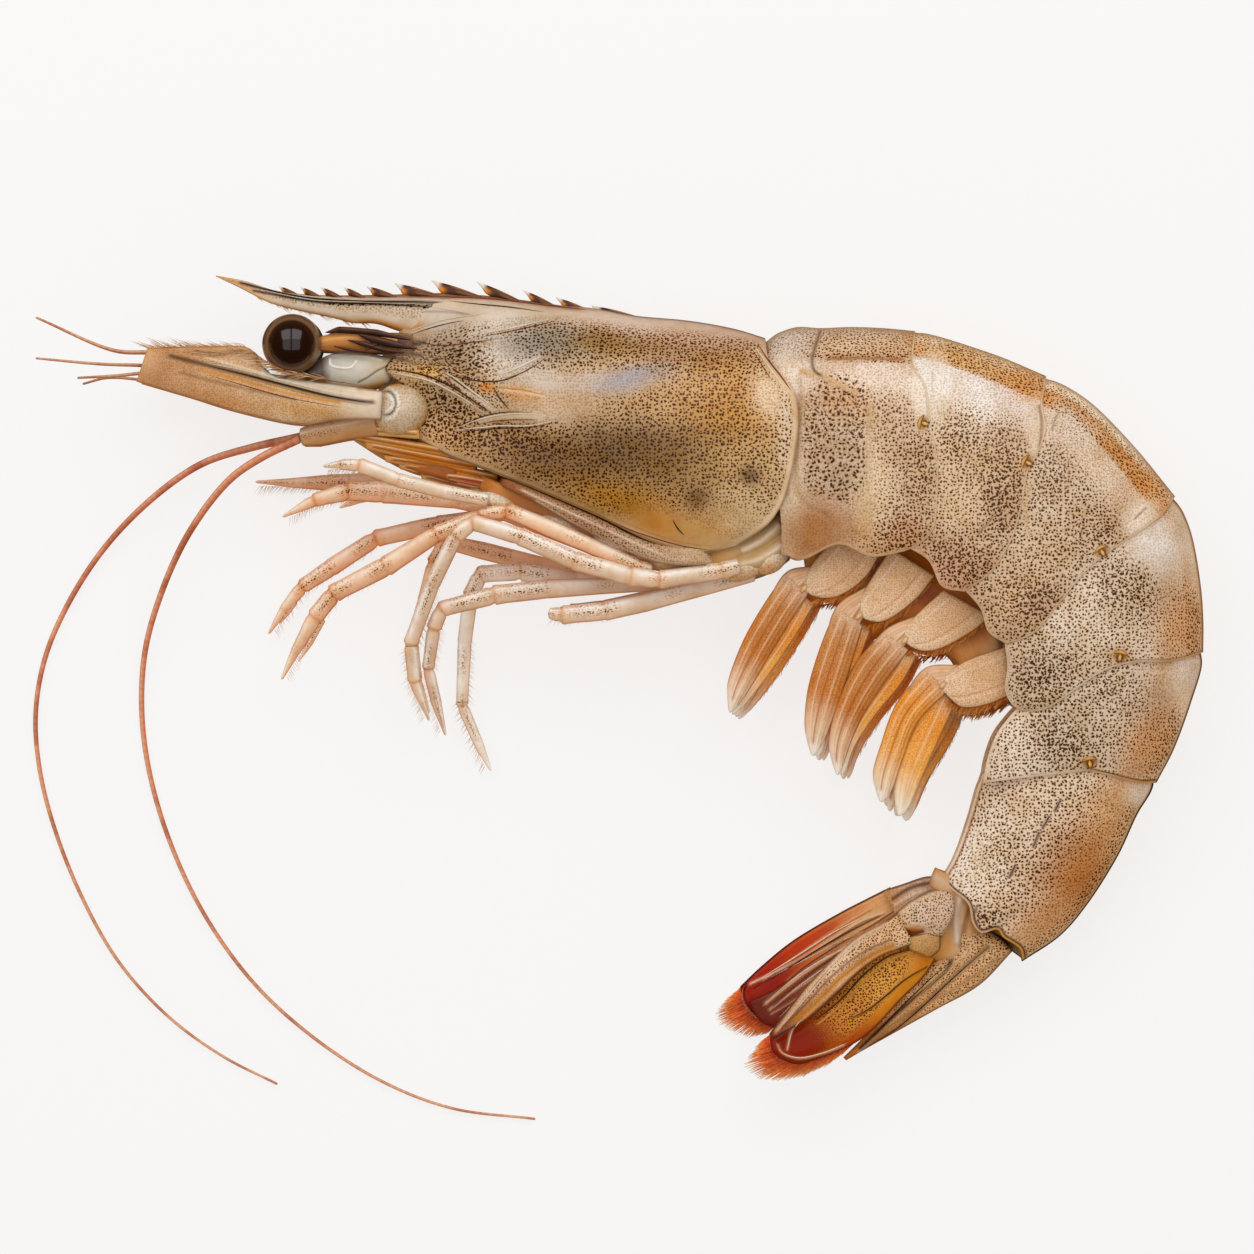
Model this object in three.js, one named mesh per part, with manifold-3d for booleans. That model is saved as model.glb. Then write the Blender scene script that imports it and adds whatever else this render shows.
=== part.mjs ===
// Raw whiteleg prawn, whole, lying on its right side with the left side up.
// Millimetres, +Z up. The animal's midplane is level: X runs from the head to the bend of the
// abdomen, Y from the legs to the back, and every flat outline below is drawn in that plane.
// Each outline point is [x, y]; each limb point is [x, y, z], z being the height over the ground.
import * as THREE from 'three';
import { ParametricGeometry } from 'three/addons/geometries/ParametricGeometry.js';
import { mergeVertices } from 'three/addons/utils/BufferGeometryUtils.js';
import Module from 'manifold-3d';

const wasm = await Module();
wasm.setup();

// ---------------------------------------------------------------- driving dimensions
const MIDPLANE = 8.8; // height of the head's midplane over the ground
const JOINT_GAP = 0.45; // gap between one shell piece and the next
const FLAT = 0.12; // how far the shell's widest line is flattened where it lies on the ground

// Half width of the shell at the back of the carapace and at the six seams of the abdomen.
const SEAM_HALF_WIDTH = [8.7, 8.9, 8.9, 8.6, 7.6, 6.2, 4.3];
const CARAPACE_FRONT_HALF_WIDTH = 4.4;
const CARAPACE_HALF_WIDTH = 8.9;
const RIM_FLARE = 0.1; // each segment's back rim stands this much proud of the next segment

// Carapace: front margin, back margin, and the lines along the back and along the lower edge.
const CARAPACE_FRONT = [
  [-21.25, 39.9], [-21.35, 36.6], [-21.85, 34.9], [-23.05, 32.9], [-20.75, 30.8], [-19.05, 29],
  [-19.45, 27.3], [-20.15, 26.2], [-19.75, 25.6],
];
const CARAPACE_REAR = [
  [14.85, 36.1], [15.15, 33.9], [16.45, 32.2], [17.65, 30.5], [18.05, 27.4], [17.45, 22.9],
  [16.65, 19.9], [15.15, 17.5], [12.05, 15.3],
];
const CARAPACE_BACK = [
  [-16.65, 40.2], [-11.65, 40], [-6.65, 39.4], [-2.45, 39.1], [1.75, 38.35], [7.45, 37.8],
  [11.85, 37],
];
const CARAPACE_EDGE = [
  [-17.15, 24.3], [-13.65, 23.1], [-10.85, 22], [-7.85, 20.8], [-2.05, 18.3], [3.65, 15.6],
  [8.25, 14.5],
];

// Rostrum: the tip, the tooth tips along its crest, and its lower edge down into the carapace.
const ROSTRUM_TIP = [[-40.1, 42.35], [-35.45, 41.5]];
const TOOTH_TIPS = [
  [-33.85, 41.3], [-31.65, 41.2], [-29.65, 41.2], [-27.35, 41.2], [-25.05, 41.3], [-22.25, 41.6],
  [-18.55, 41.9], [-14.05, 41.8], [-9.45, 40.95], [-6.15, 40.2], [-2.55, 39.35],
];
const TOOTH_NOTCH = [0.8, -0.85]; // the notch behind and under each tooth tip, from that tip
const ROSTRUM_KEEL = [
  [-1.05, 37.9], [-5.65, 35.4], [-18.65, 35.4], [-20.95, 36.6], [-24.25, 37.7], [-26.35, 37.6],
  [-28.35, 38.2], [-31.65, 38.8], [-34.35, 39.6], [-36.65, 40.4], [-38.65, 41.4],
];
const ROSTRUM_THICKNESS = 1.5;
const ROSTRUM_TIP_THICKNESS = 0.35;

// Underside of the head: the breast that carries the legs, and the mouth field before it.
const BREAST_FRONT = [[-13.85, 22.75], [-14.25, 21.4]];
const BREAST_REAR = [[16.75, 19.1], [16.75, 14.1]];
const BREAST_TOP = [
  [-11.05, 21.6], [-8.05, 20.4], [-2.25, 17.85], [3.45, 15.15], [8.25, 14.05], [12.25, 14.8],
  [14.25, 15.9], [15.85, 17.7],
];
const BREAST_EDGE = [
  [-10.85, 20.2], [-7.65, 18.8], [-2.05, 16.4], [3.65, 14.3], [8.25, 13.4], [12.05, 13.2],
  [15.15, 13.7],
];
const BREAST_HALF_WIDTH = 4.6;
const MOUTH_FRONT = [[-25.85, 26.5], [-26.25, 25.8]];
const MOUTH_REAR = [[-15.35, 22.95], [-15.45, 21.2]];
const MOUTH_TOP = [[-22.65, 25.2], [-20.25, 24.8], [-17.55, 23.75]];
const MOUTH_EDGE = [[-23.25, 23.9], [-20.55, 22.6], [-17.65, 21.8]];
const MOUTH_HALF_WIDTH = 1.8;

// Abdomen: the back rim of each segment from the back down to the pleuron, the line along its
// back and the line along its lower edge. The first one's front rim lies free of the carapace.
const SEGMENTS = [
  {
    start: [
      [15.25, 35.8], [15.65, 34.1], [16.85, 32.5], [18.05, 30.7], [18.45, 27.4], [17.95, 22.9],
      [17.35, 19.9], [17.55, 16.9], [17.25, 13.9],
    ],
    rim: [
      [29.85, 36.8], [29.55, 33.2], [30.65, 31.4], [31.15, 27.4], [31.85, 23.9], [31.85, 20.4],
      [31.45, 16.9], [30.05, 15.4], [28.55, 14.7],
    ],
    back: [[16.35, 36.7], [18.05, 37.2], [20.35, 37.1], [23.45, 37.2], [26.55, 37.1]],
    edge: [[18.55, 13.9], [22.15, 15.4], [25.35, 14.2]],
  },
  {
    rim: [
      [42.95, 32.3], [42.35, 29.3], [42.65, 26.9], [41.75, 24.3], [40.75, 22.4], [40.35, 19.9],
      [39.35, 16.2], [37.15, 12.6], [34.55, 10.7],
    ],
    back: [[32.75, 36.2], [35.75, 35.1], [38.75, 34.1]],
    edge: [[30.95, 13.8], [32.35, 11.2]],
  },
  {
    rim: [
      [55.85, 20.3], [54.25, 18.3], [51.85, 16.6], [49.15, 14.8], [46.75, 12.9], [43.85, 9.4],
      [41.35, 6.5], [38.75, 5.5],
    ],
    back: [[47.25, 29.7], [51.75, 25.3]],
    edge: [[36.15, 9], [36.95, 6.7]],
  },
  {
    rim: [
      [58.75, 4.7], [55.45, 3.8], [51.65, 3.7], [49.35, 3.2], [47.85, 2.5], [45.55, 0.9],
      [42.65, -1], [40.45, -1.2],
    ],
    back: [[57.35, 16.9], [58.45, 11.6], [58.75, 7.9]],
    edge: [[38.85, 3.4], [38.65, 0.9], [39.35, -0.5]],
  },
  {
    rim: [
      [54.15, -8.4], [52.45, -8.4], [48.55, -7.5], [47.05, -7.2], [43.95, -7.5], [38.65, -8.1],
      [36.55, -8.4],
    ],
    back: [[57.65, -0.1], [55.85, -5.1]],
    edge: [[39.15, -1.7], [37.85, -3.5], [36.95, -6]],
  },
  {
    rim: [
      [40.75, -26.4], [40.45, -25.1], [38.65, -23.8], [38.15, -23.1], [36.45, -23.4],
      [35.65, -22.5], [35.15, -20.5], [33.65, -19.2], [32.55, -18.1],
    ],
    back: [[52.35, -11.3], [50.35, -15.7], [47.15, -20.8], [44.55, -23.8]],
    edge: [[35.15, -12.2], [33.75, -16.1]],
  },
];
const LAST_SEGMENT = SEGMENTS.length - 1;

// Flat pieces: the end at the body, the free end, and the two long sides.
// Heights are those of the left one over the midplane of its place; the right one mirrors it.
const TELSON = {
  root: [[35.35, -24.1], [36.85, -24], [38.05, -24.4], [39.35, -25.8]], tip: [[23.15, -36], [23.45, -36.2]],
  front: [[33.15, -26.2], [30.15, -29.2], [26.75, -32.6]], back:
    [[35.85, -28.5], [31.35, -31.1], [26.75, -33.9]],
};
const TAIL_MIDPLANE = 4.6; // height of the tail fan's midplane
const TELSON_HALF_THICKNESS = [1.5, 0.25];
const UROPODS = {
  left: {
    protopod: {
      root: [[32.65, -19.7], [33.05, -22.3]], tip: [[28.05, -21.6], [28.85, -23.2]],
      front: [[30.85, -19.6], [28.85, -20.6]], back:
        [[32.35, -24.2], [31.55, -25.4], [30.15, -24.5]], height: 7.5, thick: [1.1, 0.8],
    },
    exopod: {
      root: [[27.45, -22], [28.25, -24.5]], tip: [[15.45, -33.4], [15.95, -33.9]],
      front: [[24.35, -23.6], [21.35, -26.6], [18.35, -30.1]], back:
        [[25.35, -26.1], [22.35, -28.2], [18.85, -31.3]], height: 8.7, thick: [0.4, 0.25],
    },
    endopod: {
      root: [[29.35, -24.9], [30.15, -25.9]], tip: [[15.45, -34.3], [16.15, -35.4]],
      front: [[26.35, -26.1], [23.65, -28.8], [19.85, -31.9]], back:
        [[27.85, -28.9], [25.55, -32.6], [21.85, -35.5], [18.35, -36.2]],
      height: 7.3, thick: [0.45, 0.25],
    },
  },
  right: {
    protopod: {
      root: [[31.95, -18.1], [31.95, -19]], tip: [[27.15, -19.4], [27.75, -21.3]],
      front: [[29.85, -18.2], [28.35, -18.7]], back: [[29.85, -20.2]], height: 2.3, thick: [0.9, 0.7],
    },
    exopod: {
      root: [[26.65, -19.7], [27.25, -21.4]], tip: [[12.05, -29.3], [13.15, -31.3]],
      front: [[22.15, -22.2], [17.55, -25.4]], back:
        [[25.35, -23.1], [21.35, -25.8], [16.85, -29.1]], height: 0.9, thick: [0.5, 0.35],
    },
    endopod: {
      root: [[26.95, -22], [27.55, -23.5]], tip: [[14.85, -30.8], [15.35, -32.2]],
      front: [[24.35, -23.6], [18.35, -27.3]], back: [[23.35, -26.6], [18.35, -31.2]],
      height: 2.2, thick: [0.4, 0.25],
    },
  },
};

// Swimming legs, each a broad plate that narrows to a blade bent towards the tail.
const PLEOPODS = [
  {
    root: [[18.95, 13], [22.15, 14.8], [24.75, 13.3]], tip: [[10.95, -1.1], [11.85, -1.3]],
    front: [[16.35, 11.7], [13.45, 8.3], [11.85, 3.6]], back:
      [[22.65, 11.2], [18.95, 9.7], [16.55, 6.9], [13.85, 2.5]], height: [12.4, 10],
  },
  {
    root: [[25.15, 12.5], [28.35, 13.9], [30.75, 12.8]], tip: [[19.15, -5.1], [20.45, -5.7]],
    front: [[22.55, 9.1], [20.35, 4.7], [19.15, -0.4]], back: [
      [30.15, 10.9], [27.75, 8.7], [24.55, 7.2], [23.25, 4.1], [21.75, 0.5],
    ], height: [12.4, 10],
  },
  {
    root: [[30.55, 10.5], [32.55, 9.9], [34.55, 9.1]], tip: [[21.55, -6.3], [22.85, -6.8]],
    front: [[26.95, 6.9], [23.85, 3.8], [22.25, -0.4]], back: [
      [33.85, 6.9], [32.15, 5.6], [29.15, 4.7], [27.75, 2.6], [25.05, -0.4],
    ], height: [12.4, 10],
  },
  {
    root: [[37.95, 4.9], [37.95, 3.1]], tip: [[25.95, -9.8], [27.15, -10.3]],
    front: [[34.15, 5.1], [30.55, 2.9], [27.65, -0.6], [26.05, -4.6]], back:
      [[36.85, 0.6], [33.35, -0.3], [30.85, -2.3], [28.65, -6.1]], height: [12.2, 10.6],
  },
  {
    root: [[36.75, 3.1], [37.95, 0.7]], tip: [[27.55, -11.3], [28.65, -11.7]],
    front: [[32.85, 0.9], [29.15, -4.1], [27.75, -8.1]], back:
      [[35.15, -0.3], [32.15, -2.3], [29.75, -6.6], [29.05, -9.6]], height: [10.2, 9],
  },
];
const PLEOPOD_HALF_THICKNESS = [0.55, 0.3];
const PLEOPOD_STAGGER = [0.6, -0.25]; // the right legs trail the left ones by this much

// Walking legs and the last mouth limbs: centre line from the body out, and radius at each point.
// finger is the fixed finger of the pincer, fold the outer part of a leg that is bent back.
const LIMBS = {
  maxilliped_left: {
    path: [
      [-12.65, 19.8, 14.4], [-17.35, 20.7, 14.3], [-21.65, 21.8, 14], [-25.55, 23.3, 13.4],
      [-27.45, 23.4, 13], [-29.25, 23.2, 12.6],
    ],
    radius: [0.55, 0.6, 0.6, 0.6, 0.4, 0.1],
  },
  maxilliped_right: {
    path: [
      [-12.65, 20, 3.4], [-18.65, 21, 3.6], [-23.55, 21.8, 3.8], [-28.95, 21.7, 3.6],
      [-32.65, 21.7, 3.2], [-36.35, 21.8, 2.8],
    ],
    radius: [0.55, 0.8, 0.8, 0.7, 0.4, 0.1],
  },
  leg_1_left: {
    path: [
      [-4.65, 16.1, 10.4], [-8.65, 17.5, 10.4], [-11.65, 18.7, 10.4], [-15.65, 19.7, 10.2],
      [-23.25, 20.7, 9.6], [-26.75, 20.8, 9.2], [-30.15, 19.9, 8.6], [-33.45, 18.2, 8],
    ],
    radius: [0.55, 0.6, 0.6, 0.6, 0.95, 0.8, 0.55, 0.1],
    finger: [[-25.45, 20.3, 9.2], [-26.65, 19.6, 9.1], [-27.75, 19.1, 8.9]],
  },
  leg_1_right: {
    path: [
      [-5.05, 16.2, 6.6], [-8.65, 17.6, 6.8], [-11.65, 18.8, 6.8], [-16.15, 19.8, 6.8],
      [-23.25, 20.8, 6.6], [-26.75, 20.8, 6.2], [-29.65, 20.1, 5.8], [-32.65, 18.7, 5.2],
    ],
    radius: [0.55, 0.6, 0.6, 0.6, 0.9, 0.8, 0.55, 0.1],
    finger: [[-25.45, 20.3, 6.2], [-26.65, 19.7, 6.1], [-27.55, 19.3, 5.9]],
  },
  leg_2_left: {
    path: [
      [3.55, 12.7, 12.3], [2.35, 13.1, 12.4], [-2.65, 15.3, 12.5], [-6.85, 17.1, 12.5],
      [-10.85, 18.8, 12.4], [-13.55, 18.3, 12.2], [-17.85, 16.5, 11.6], [-22.95, 13.3, 10.2],
      [-28.25, 10.6, 8], [-30.15, 8.3, 7], [-32.25, 4.7, 5.4], [-33.65, 1.9, 4.4],
    ],
    radius: [0.6, 0.65, 0.7, 0.75, 0.65, 0.6, 0.7, 0.85, 0.75, 0.7, 0.4, 0.1],
    finger: [[-29.45, 8.1, 6.9], [-30.75, 5.6, 5.9], [-31.95, 3.7, 5.1]],
  },
  leg_2_right: {
    path: [
      [3.35, 12.9, 4.9], [1.95, 13.4, 4.9], [-2.65, 15.3, 4.8], [-6.85, 17, 4.8],
      [-10.85, 18.6, 4.8], [-14.05, 18.2, 4.8], [-17.95, 17.6, 4.9], [-20.55, 16.9, 4.8],
      [-24.15, 16.1, 4.5], [-28.65, 13.2, 3.8], [-31.55, 11.3, 3], [-33.45, 9, 2.2],
      [-35.05, 6.5, 1.4],
    ],
    radius: [0.6, 0.6, 0.65, 0.7, 0.6, 0.6, 0.65, 0.75, 0.7, 0.75, 0.6, 0.4, 0.1],
    finger: [[-32.35, 9.9, 2.6], [-33.25, 8.6, 2.1], [-33.95, 7.5, 1.7]],
  },
  leg_3_left: {
    path: [
      [12.35, 13.3, 14.4], [10.55, 12.8, 14.6], [4.25, 11.9, 14.8], [1.45, 12.2, 14.8],
      [-4.15, 13.8, 14.9], [-9.55, 16.2, 14.9], [-14.25, 17.6, 14.8], [-15.95, 16.3, 14.4],
      [-18.35, 11.5, 12.5], [-20.55, 5.6, 10], [-20.25, 1.8, 8.6], [-18.75, -2.2, 7.2],
    ],
    radius: [0.65, 0.75, 0.75, 0.8, 0.8, 0.75, 0.65, 0.65, 0.65, 0.6, 0.5, 0.1],
  },
  leg_3_right: {
    path: [
      [3.35, 11.9, 2.9], [-2.85, 12.3, 2.9], [-6.85, 13.2, 2.9], [-13.55, 14.9, 2.9],
      [-17.25, 15.8, 3], [-18.35, 13.7, 3.2], [-19.35, 9.9, 3], [-20.55, 5.9, 2.4],
      [-20.05, 1.9, 1.8], [-18.85, -1.5, 1.2],
    ],
    radius: [0.6, 0.7, 0.75, 0.75, 0.6, 0.6, 0.55, 0.5, 0.4, 0.1],
  },
  leg_4_left: {
    path: [
      [7.35, 12, 11], [2.85, 11.5, 11.1], [-1.45, 11.3, 11.2], [-6.85, 11, 11.2],
      [-12.15, 10.4, 11], [-17.45, 9, 10.4], [-18.25, 7.1, 10], [-18.85, 3.1, 8],
      [-18.05, -0.4, 6.4], [-17.15, -3.7, 5.2],
    ],
    radius: [0.6, 0.65, 0.7, 0.8, 0.8, 0.65, 0.6, 0.5, 0.45, 0.1],
  },
  leg_4_right: {
    path: [
      [7.35, 12, 6.6], [3.35, 11.6, 6.6], [-4.15, 11.9, 6.4], [-9.55, 12.8, 6],
      [-13.65, 12.5, 5.6], [-14.65, 10.4, 5.2], [-15.25, 5.8, 4.2], [-15.55, -0.6, 2.6],
      [-13.75, -4.9, 1.6], [-12.65, -7.3, 1.1],
    ],
    radius: [0.6, 0.65, 0.75, 0.8, 0.7, 0.65, 0.6, 0.5, 0.4, 0.1],
  },
  leg_5_left: {
    path: [
      [13.85, 12.5, 12.6], [9.95, 11.5, 12.6], [6.45, 10.6, 12.6], [2.65, 9.6, 12.5],
      [-1.05, 8.8, 12.4], [-5.35, 8.4, 12.2], [-6.85, 8.6, 12],
    ],
    radius: [0.6, 0.7, 0.75, 0.8, 0.8, 0.75, 0.4],
    fold: [
      [-5.95, 8.55, 11.8], [-5.25, 8.6, 10.6], [-1.05, 9, 10.2], [3.35, 9.8, 10.1],
      [5.95, 10.5, 10.2],
    ],
  },
  leg_5_right: {
    path: [
      [13.55, 12.4, 4.8], [9.55, 11.4, 4.8], [5.85, 10.6, 4.6], [2.35, 9.8, 4.4],
      [-1.05, 9.1, 4.2], [-4.65, 8.7, 4], [-5.85, 8.8, 3.9],
    ],
    radius: [0.6, 0.65, 0.7, 0.75, 0.7, 0.65, 0.35],
    fold: [[-5.05, 8.75, 3.7], [-4.25, 8.8, 2.5], [0.35, 9.3, 2.1], [5.15, 10.3, 2]],
  },
};
const LIMB_SIDES = 7;

// Feelers, thick at the head and thread-like at the end.
const FLAGELLA = {
  antenna_left: {
    path: [
      [-32.05, 25.8, 11.9], [-35.45, 24.1, 11.2], [-38.65, 21.9, 10], [-42.65, 16.9, 7],
      [-45.65, 10.9, 3.4], [-47.45, 4.9, 1.5], [-47.85, -1.1, 0.7], [-47.15, -7.1, 0.55],
      [-45.15, -14.1, 0.55], [-41.65, -21.6, 0.55], [-36.65, -28.6, 0.5], [-30.65, -34.1, 0.5],
      [-23.65, -38.6, 0.45], [-16.65, -41.3, 0.4], [-8.15, -42.4, 0.35],
    ],
    radius: [0.42, 0.14], steps: 44,
  },
  antenna_right: {
    path: [
      [-32.05, 26.4, 5.6], [-36.65, 25.2, 5], [-41.65, 23.6, 3.8], [-46.65, 20.2, 2.2],
      [-51.65, 15.1, 1], [-55.45, 9.2, 0.6], [-57.65, 3.9, 0.55], [-58.55, -1.6, 0.55],
      [-58.15, -7.1, 0.55], [-56.65, -13.1, 0.5], [-53.85, -20.1, 0.5], [-50.15, -26.6, 0.45],
      [-45.15, -32.1, 0.4], [-39.65, -36.1, 0.4], [-34.15, -38.9, 0.35],
    ],
    radius: [0.42, 0.14], steps: 44,
  },
  antennule_outer_left: {
    path: [
      [-31.35, 31.8, 10], [-34.65, 32.1, 10], [-38.15, 33.2, 10], [-42.15, 34.4, 10.2],
      [-46.65, 34.6, 10.6], [-50.15, 34.8, 10.8], [-57.95, 38.1, 11.5],
    ],
    radius: [0.5, 0.12], steps: 16,
  },
  antennule_inner_left: {
    path: [
      [-31.35, 30.6, 9.9], [-35.45, 31.1, 9.8], [-40.65, 32.7, 9.6], [-46.65, 33.3, 9.2],
      [-51.65, 33.5, 8.7], [-58.15, 34.1, 8],
    ],
    radius: [0.35, 0.12], steps: 14,
  },
  antennule_outer_right: {
    path: [
      [-31.35, 31.8, 7.6], [-36.65, 32, 7.3], [-41.65, 32.6, 6.9], [-46.65, 32.7, 6.3],
      [-50.15, 32.4, 5.8], [-54.15, 32.2, 5],
    ],
    radius: [0.5, 0.12], steps: 14,
  },
  antennule_inner_right: {
    path: [
      [-31.35, 30.6, 7.4], [-36.65, 30.8, 6.9], [-41.65, 31.1, 6.4], [-47.65, 32, 5.4],
      [-51.15, 32.2, 4.7], [-53.65, 31.6, 4.2],
    ],
    radius: [0.35, 0.12], steps: 14,
  },
};
const FEELER_SIDES = 6;

// Head parts in pairs: the left one's height; the right one mirrors it in the midplane.
const ANTENNULE_BASE = {
  root: [[-23.75, 33.8], [-23.75, 31.3]], tip: [[-30.75, 32.9], [-30.95, 31.8]], front:
    [[-25.15, 34.3], [-28.15, 34.4]], back: [[-25.65, 31], [-28.65, 31.2]],
  height: 10.2, thick: [0.9, 0.8],
};
const ANTENNAL_SCALE = {
  root: [[-24.85, 30.3], [-25.05, 28.3]], tip: [[-46.65, 35.1], [-47.75, 31.6]],
  front: [
    [-28.65, 31.4], [-31.65, 31.8], [-33.85, 32.1], [-35.45, 33.4], [-36.45, 34.9], [-41.55, 35.1],
  ], back: [[-27.65, 27.8], [-31.35, 27.35], [-38.05, 28.7], [-42.95, 30.2]],
  height: 14.2, thick: [0.7, 0.35],
};
const ANTENNA_BASE = { centre: [[-22.35, 28.6, 12.2]], size: [2.3, 2.5, 2.1] };
const ANTENNA_STEM = {
  path: [[-31.55, 26.2, 11.9], [-28.65, 26.7, 12], [-25.55, 27.3, 12.2]], radius: [0.8, 1.05, 1.05],
};
const EYE = { centre: [[-32.3, 35.4, 12.6]], size: [3, 3, 3] };
const EYESTALK = {
  path: [[-28.95, 35.6, 12.4], [-25.65, 35.7, 11.8], [-22.25, 35.5, 11.2]], radius: [0.9, 0.85, 0.8],
};

// ---------------------------------------------------------------- looks
const finish = (color, roughness) => new THREE.MeshStandardMaterial({ color, roughness, metalness: 0 });
const SHELL = finish(0xb59a78, 0.3);
const LIMB = finish(0xd8a680, 0.35);
const BLADE = finish(0xc77a3e, 0.4);
const TAIL = finish(0x9a5a34, 0.35);
const FEELER = finish(0xb9583a, 0.4);
const FLESH = finish(0xb88450, 0.45);
const PUPIL = finish(0x1e1410, 0.1);

// ---------------------------------------------------------------- geometry helpers
// Curve through points, walked evenly by length: u 0 to 1 gives a point.
function curve(points) {
  const spline = new THREE.CatmullRomCurve3(
    points.map(([x, y, z = 0]) => new THREE.Vector3(x, y, z)), false, 'centripetal');
  return (u) => spline.getPointAt(Math.min(1, Math.max(0, u)));
}

// The same line of points moved sideways by a distance, to the left of its direction of travel.
function offset(points, distance) {
  return points.map(([x, y], i) => {
    const [ax, ay] = points[Math.max(0, i - 1)];
    const [bx, by] = points[Math.min(points.length - 1, i + 1)];
    const length = Math.hypot(bx - ax, by - ay);
    return [x - ((by - ay) / length) * distance, y + ((bx - ax) / length) * distance];
  });
}

// Merges shared points, drops collapsed triangles and turns the faces outward.
function weld(geometry) {
  geometry.deleteAttribute('normal');
  geometry.deleteAttribute('uv');
  const merged = mergeVertices(geometry, 2e-3);
  const old = merged.index.array;
  const position = merged.attributes.position;
  const kept = [];
  let volume = 0;
  const [a, b, c] = [new THREE.Vector3(), new THREE.Vector3(), new THREE.Vector3()];
  for (let i = 0; i < old.length; i += 3) {
    const [p, q, r] = [old[i], old[i + 1], old[i + 2]];
    if (p === q || q === r || r === p) continue;
    kept.push(p, q, r);
    a.fromBufferAttribute(position, p);
    b.fromBufferAttribute(position, q);
    c.fromBufferAttribute(position, r);
    volume += a.dot(b.cross(c));
  }
  if (volume < 0) kept.reverse();
  merged.setIndex(kept);
  return merged;
}

// Closed skin over a grid of points: at(i, j) for column i and row j.
function skin(at, columns, rows) {
  const surface = (u, v, target) => target.copy(at(Math.round(u * columns), Math.round(v * rows)));
  return weld(new ParametricGeometry(surface, columns, rows));
}

// A pillow over a flat outline. The outline is given by its root end, its free end and its two
// long sides; depth(s, t) is half the thickness and middle(s) the height of its middle surface,
// with s from root to tip and t from the first side to the second. Nothing goes under the ground.
function pillow({ root, tip, front, back }, middle, depth, long = 8, wide = 6, crowd = 1) {
  const near = curve(root);
  const far = curve(tip);
  const side = curve([root[0], ...front, tip[0]]);
  const other = curve([root.at(-1), ...back, tip.at(-1)]);
  const corner = [near(0), far(0), near(1), far(1)];
  const flat = (s, t) => {
    const point = near(t).multiplyScalar(1 - s).addScaledVector(far(t), s);
    point.addScaledVector(side(s), 1 - t).addScaledVector(other(s), t);
    point.addScaledVector(corner[0], -(1 - s) * (1 - t)).addScaledVector(corner[1], -s * (1 - t));
    return point.addScaledVector(corner[2], -(1 - s) * t).addScaledVector(corner[3], -s * t);
  };
  const columns = 2 * wide + 2;
  const rows = long + 2;
  return skin((i, j) => {
    const over = i <= wide || i === columns;
    const t = ((i === columns ? 0 : over ? i : columns - 1 - i) / wide) ** crowd;
    const s = Math.min(1, Math.max(0, (j - 1) / long));
    const cap = j === 0 || j === rows;
    const point = flat(s, t);
    point.z = Math.max(0, middle(s) + (cap ? 0 : over ? depth(s, t) : -depth(s, t)));
    return point;
  }, columns, rows);
}

// Round limb along a line of points with a radius at each, mitred where it bends.
function tube(points, radii, sides = LIMB_SIDES) {
  const line = points.map((p) => new THREE.Vector3(...p));
  const last = line.length - 1;
  const heading = line.slice(1).map((p, i) => p.clone().sub(line[i]).normalize());
  const side = new THREE.Vector3(0, 0, 1).cross(heading[0]).normalize();
  const rings = line.map((p, i) => {
    const before = heading[Math.max(0, i - 1)];
    const after = heading[Math.min(last - 1, i)];
    const along = before.clone().add(after).normalize();
    side.addScaledVector(along, -side.dot(along)).normalize();
    const up = along.clone().cross(side);
    const bend = after.clone().sub(before);
    const stretch = Math.min(1.5, 1 / Math.max(0.2, along.dot(after)));
    if (bend.length() > 1e-6) bend.normalize();
    return Array.from({ length: sides }, (_, k) => {
      const angle = (2 * Math.PI * k) / sides;
      const spoke = side.clone().multiplyScalar(Math.cos(angle)).addScaledVector(up, Math.sin(angle));
      spoke.addScaledVector(bend, spoke.dot(bend) * (stretch - 1));
      return p.clone().addScaledVector(spoke, radii[i]);
    });
  });
  const rows = last + 2;
  return skin((i, j) => {
    if (j === 0) return line[0];
    if (j === rows) return line[last];
    return rings[j - 1][i % sides];
  }, sides, rows);
}

// Smooth feeler: a curve cut into even steps, tapering from the first radius to the second.
function feeler({ path, radius: [thick, thin], steps }) {
  const walk = curve(path);
  const share = Array.from({ length: steps + 1 }, (_, i) => i / steps);
  return tube(
    share.map((u) => walk(u).toArray()), share.map((u) => thick + (thin - thick) * u ** 0.7), FEELER_SIDES);
}

// Ball or egg: rings about the vertical through its centre.
function ball({ centre: [[x, y, z]], size: [a, b, c] }, sides = 16, rings = 10) {
  return weld(new THREE.SphereGeometry(1, sides, rings).rotateX(Math.PI / 2).scale(a, b, c).translate(x, y, z));
}

// Joins closed bodies that run into each other.
function join(...bodies) {
  const solids = bodies.map((body) => new wasm.Manifold(new wasm.Mesh({
    numProp: 3, vertProperties: body.attributes.position.array, triVerts: Uint32Array.from(body.index.array),
  })));
  const mesh = solids.reduce((whole, next) => whole.add(next)).getMesh();
  const geometry = new THREE.BufferGeometry();
  geometry.setAttribute('position', new THREE.BufferAttribute(mesh.vertProperties, 3));
  geometry.setIndex(new THREE.BufferAttribute(mesh.triVerts, 1));
  return geometry;
}

const mirror = (z) => 2 * MIDPLANE - z;
const group = new THREE.Group();
function add(name, geometry, material) {
  const mesh = new THREE.Mesh(geometry, material);
  mesh.name = name;
  group.add(mesh);
}

// Both of a pair: build(side, height) makes one from its side's name and its own height rule.
const pair = (build) => {
  build('left', (z) => z);
  build('right', mirror);
};

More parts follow.
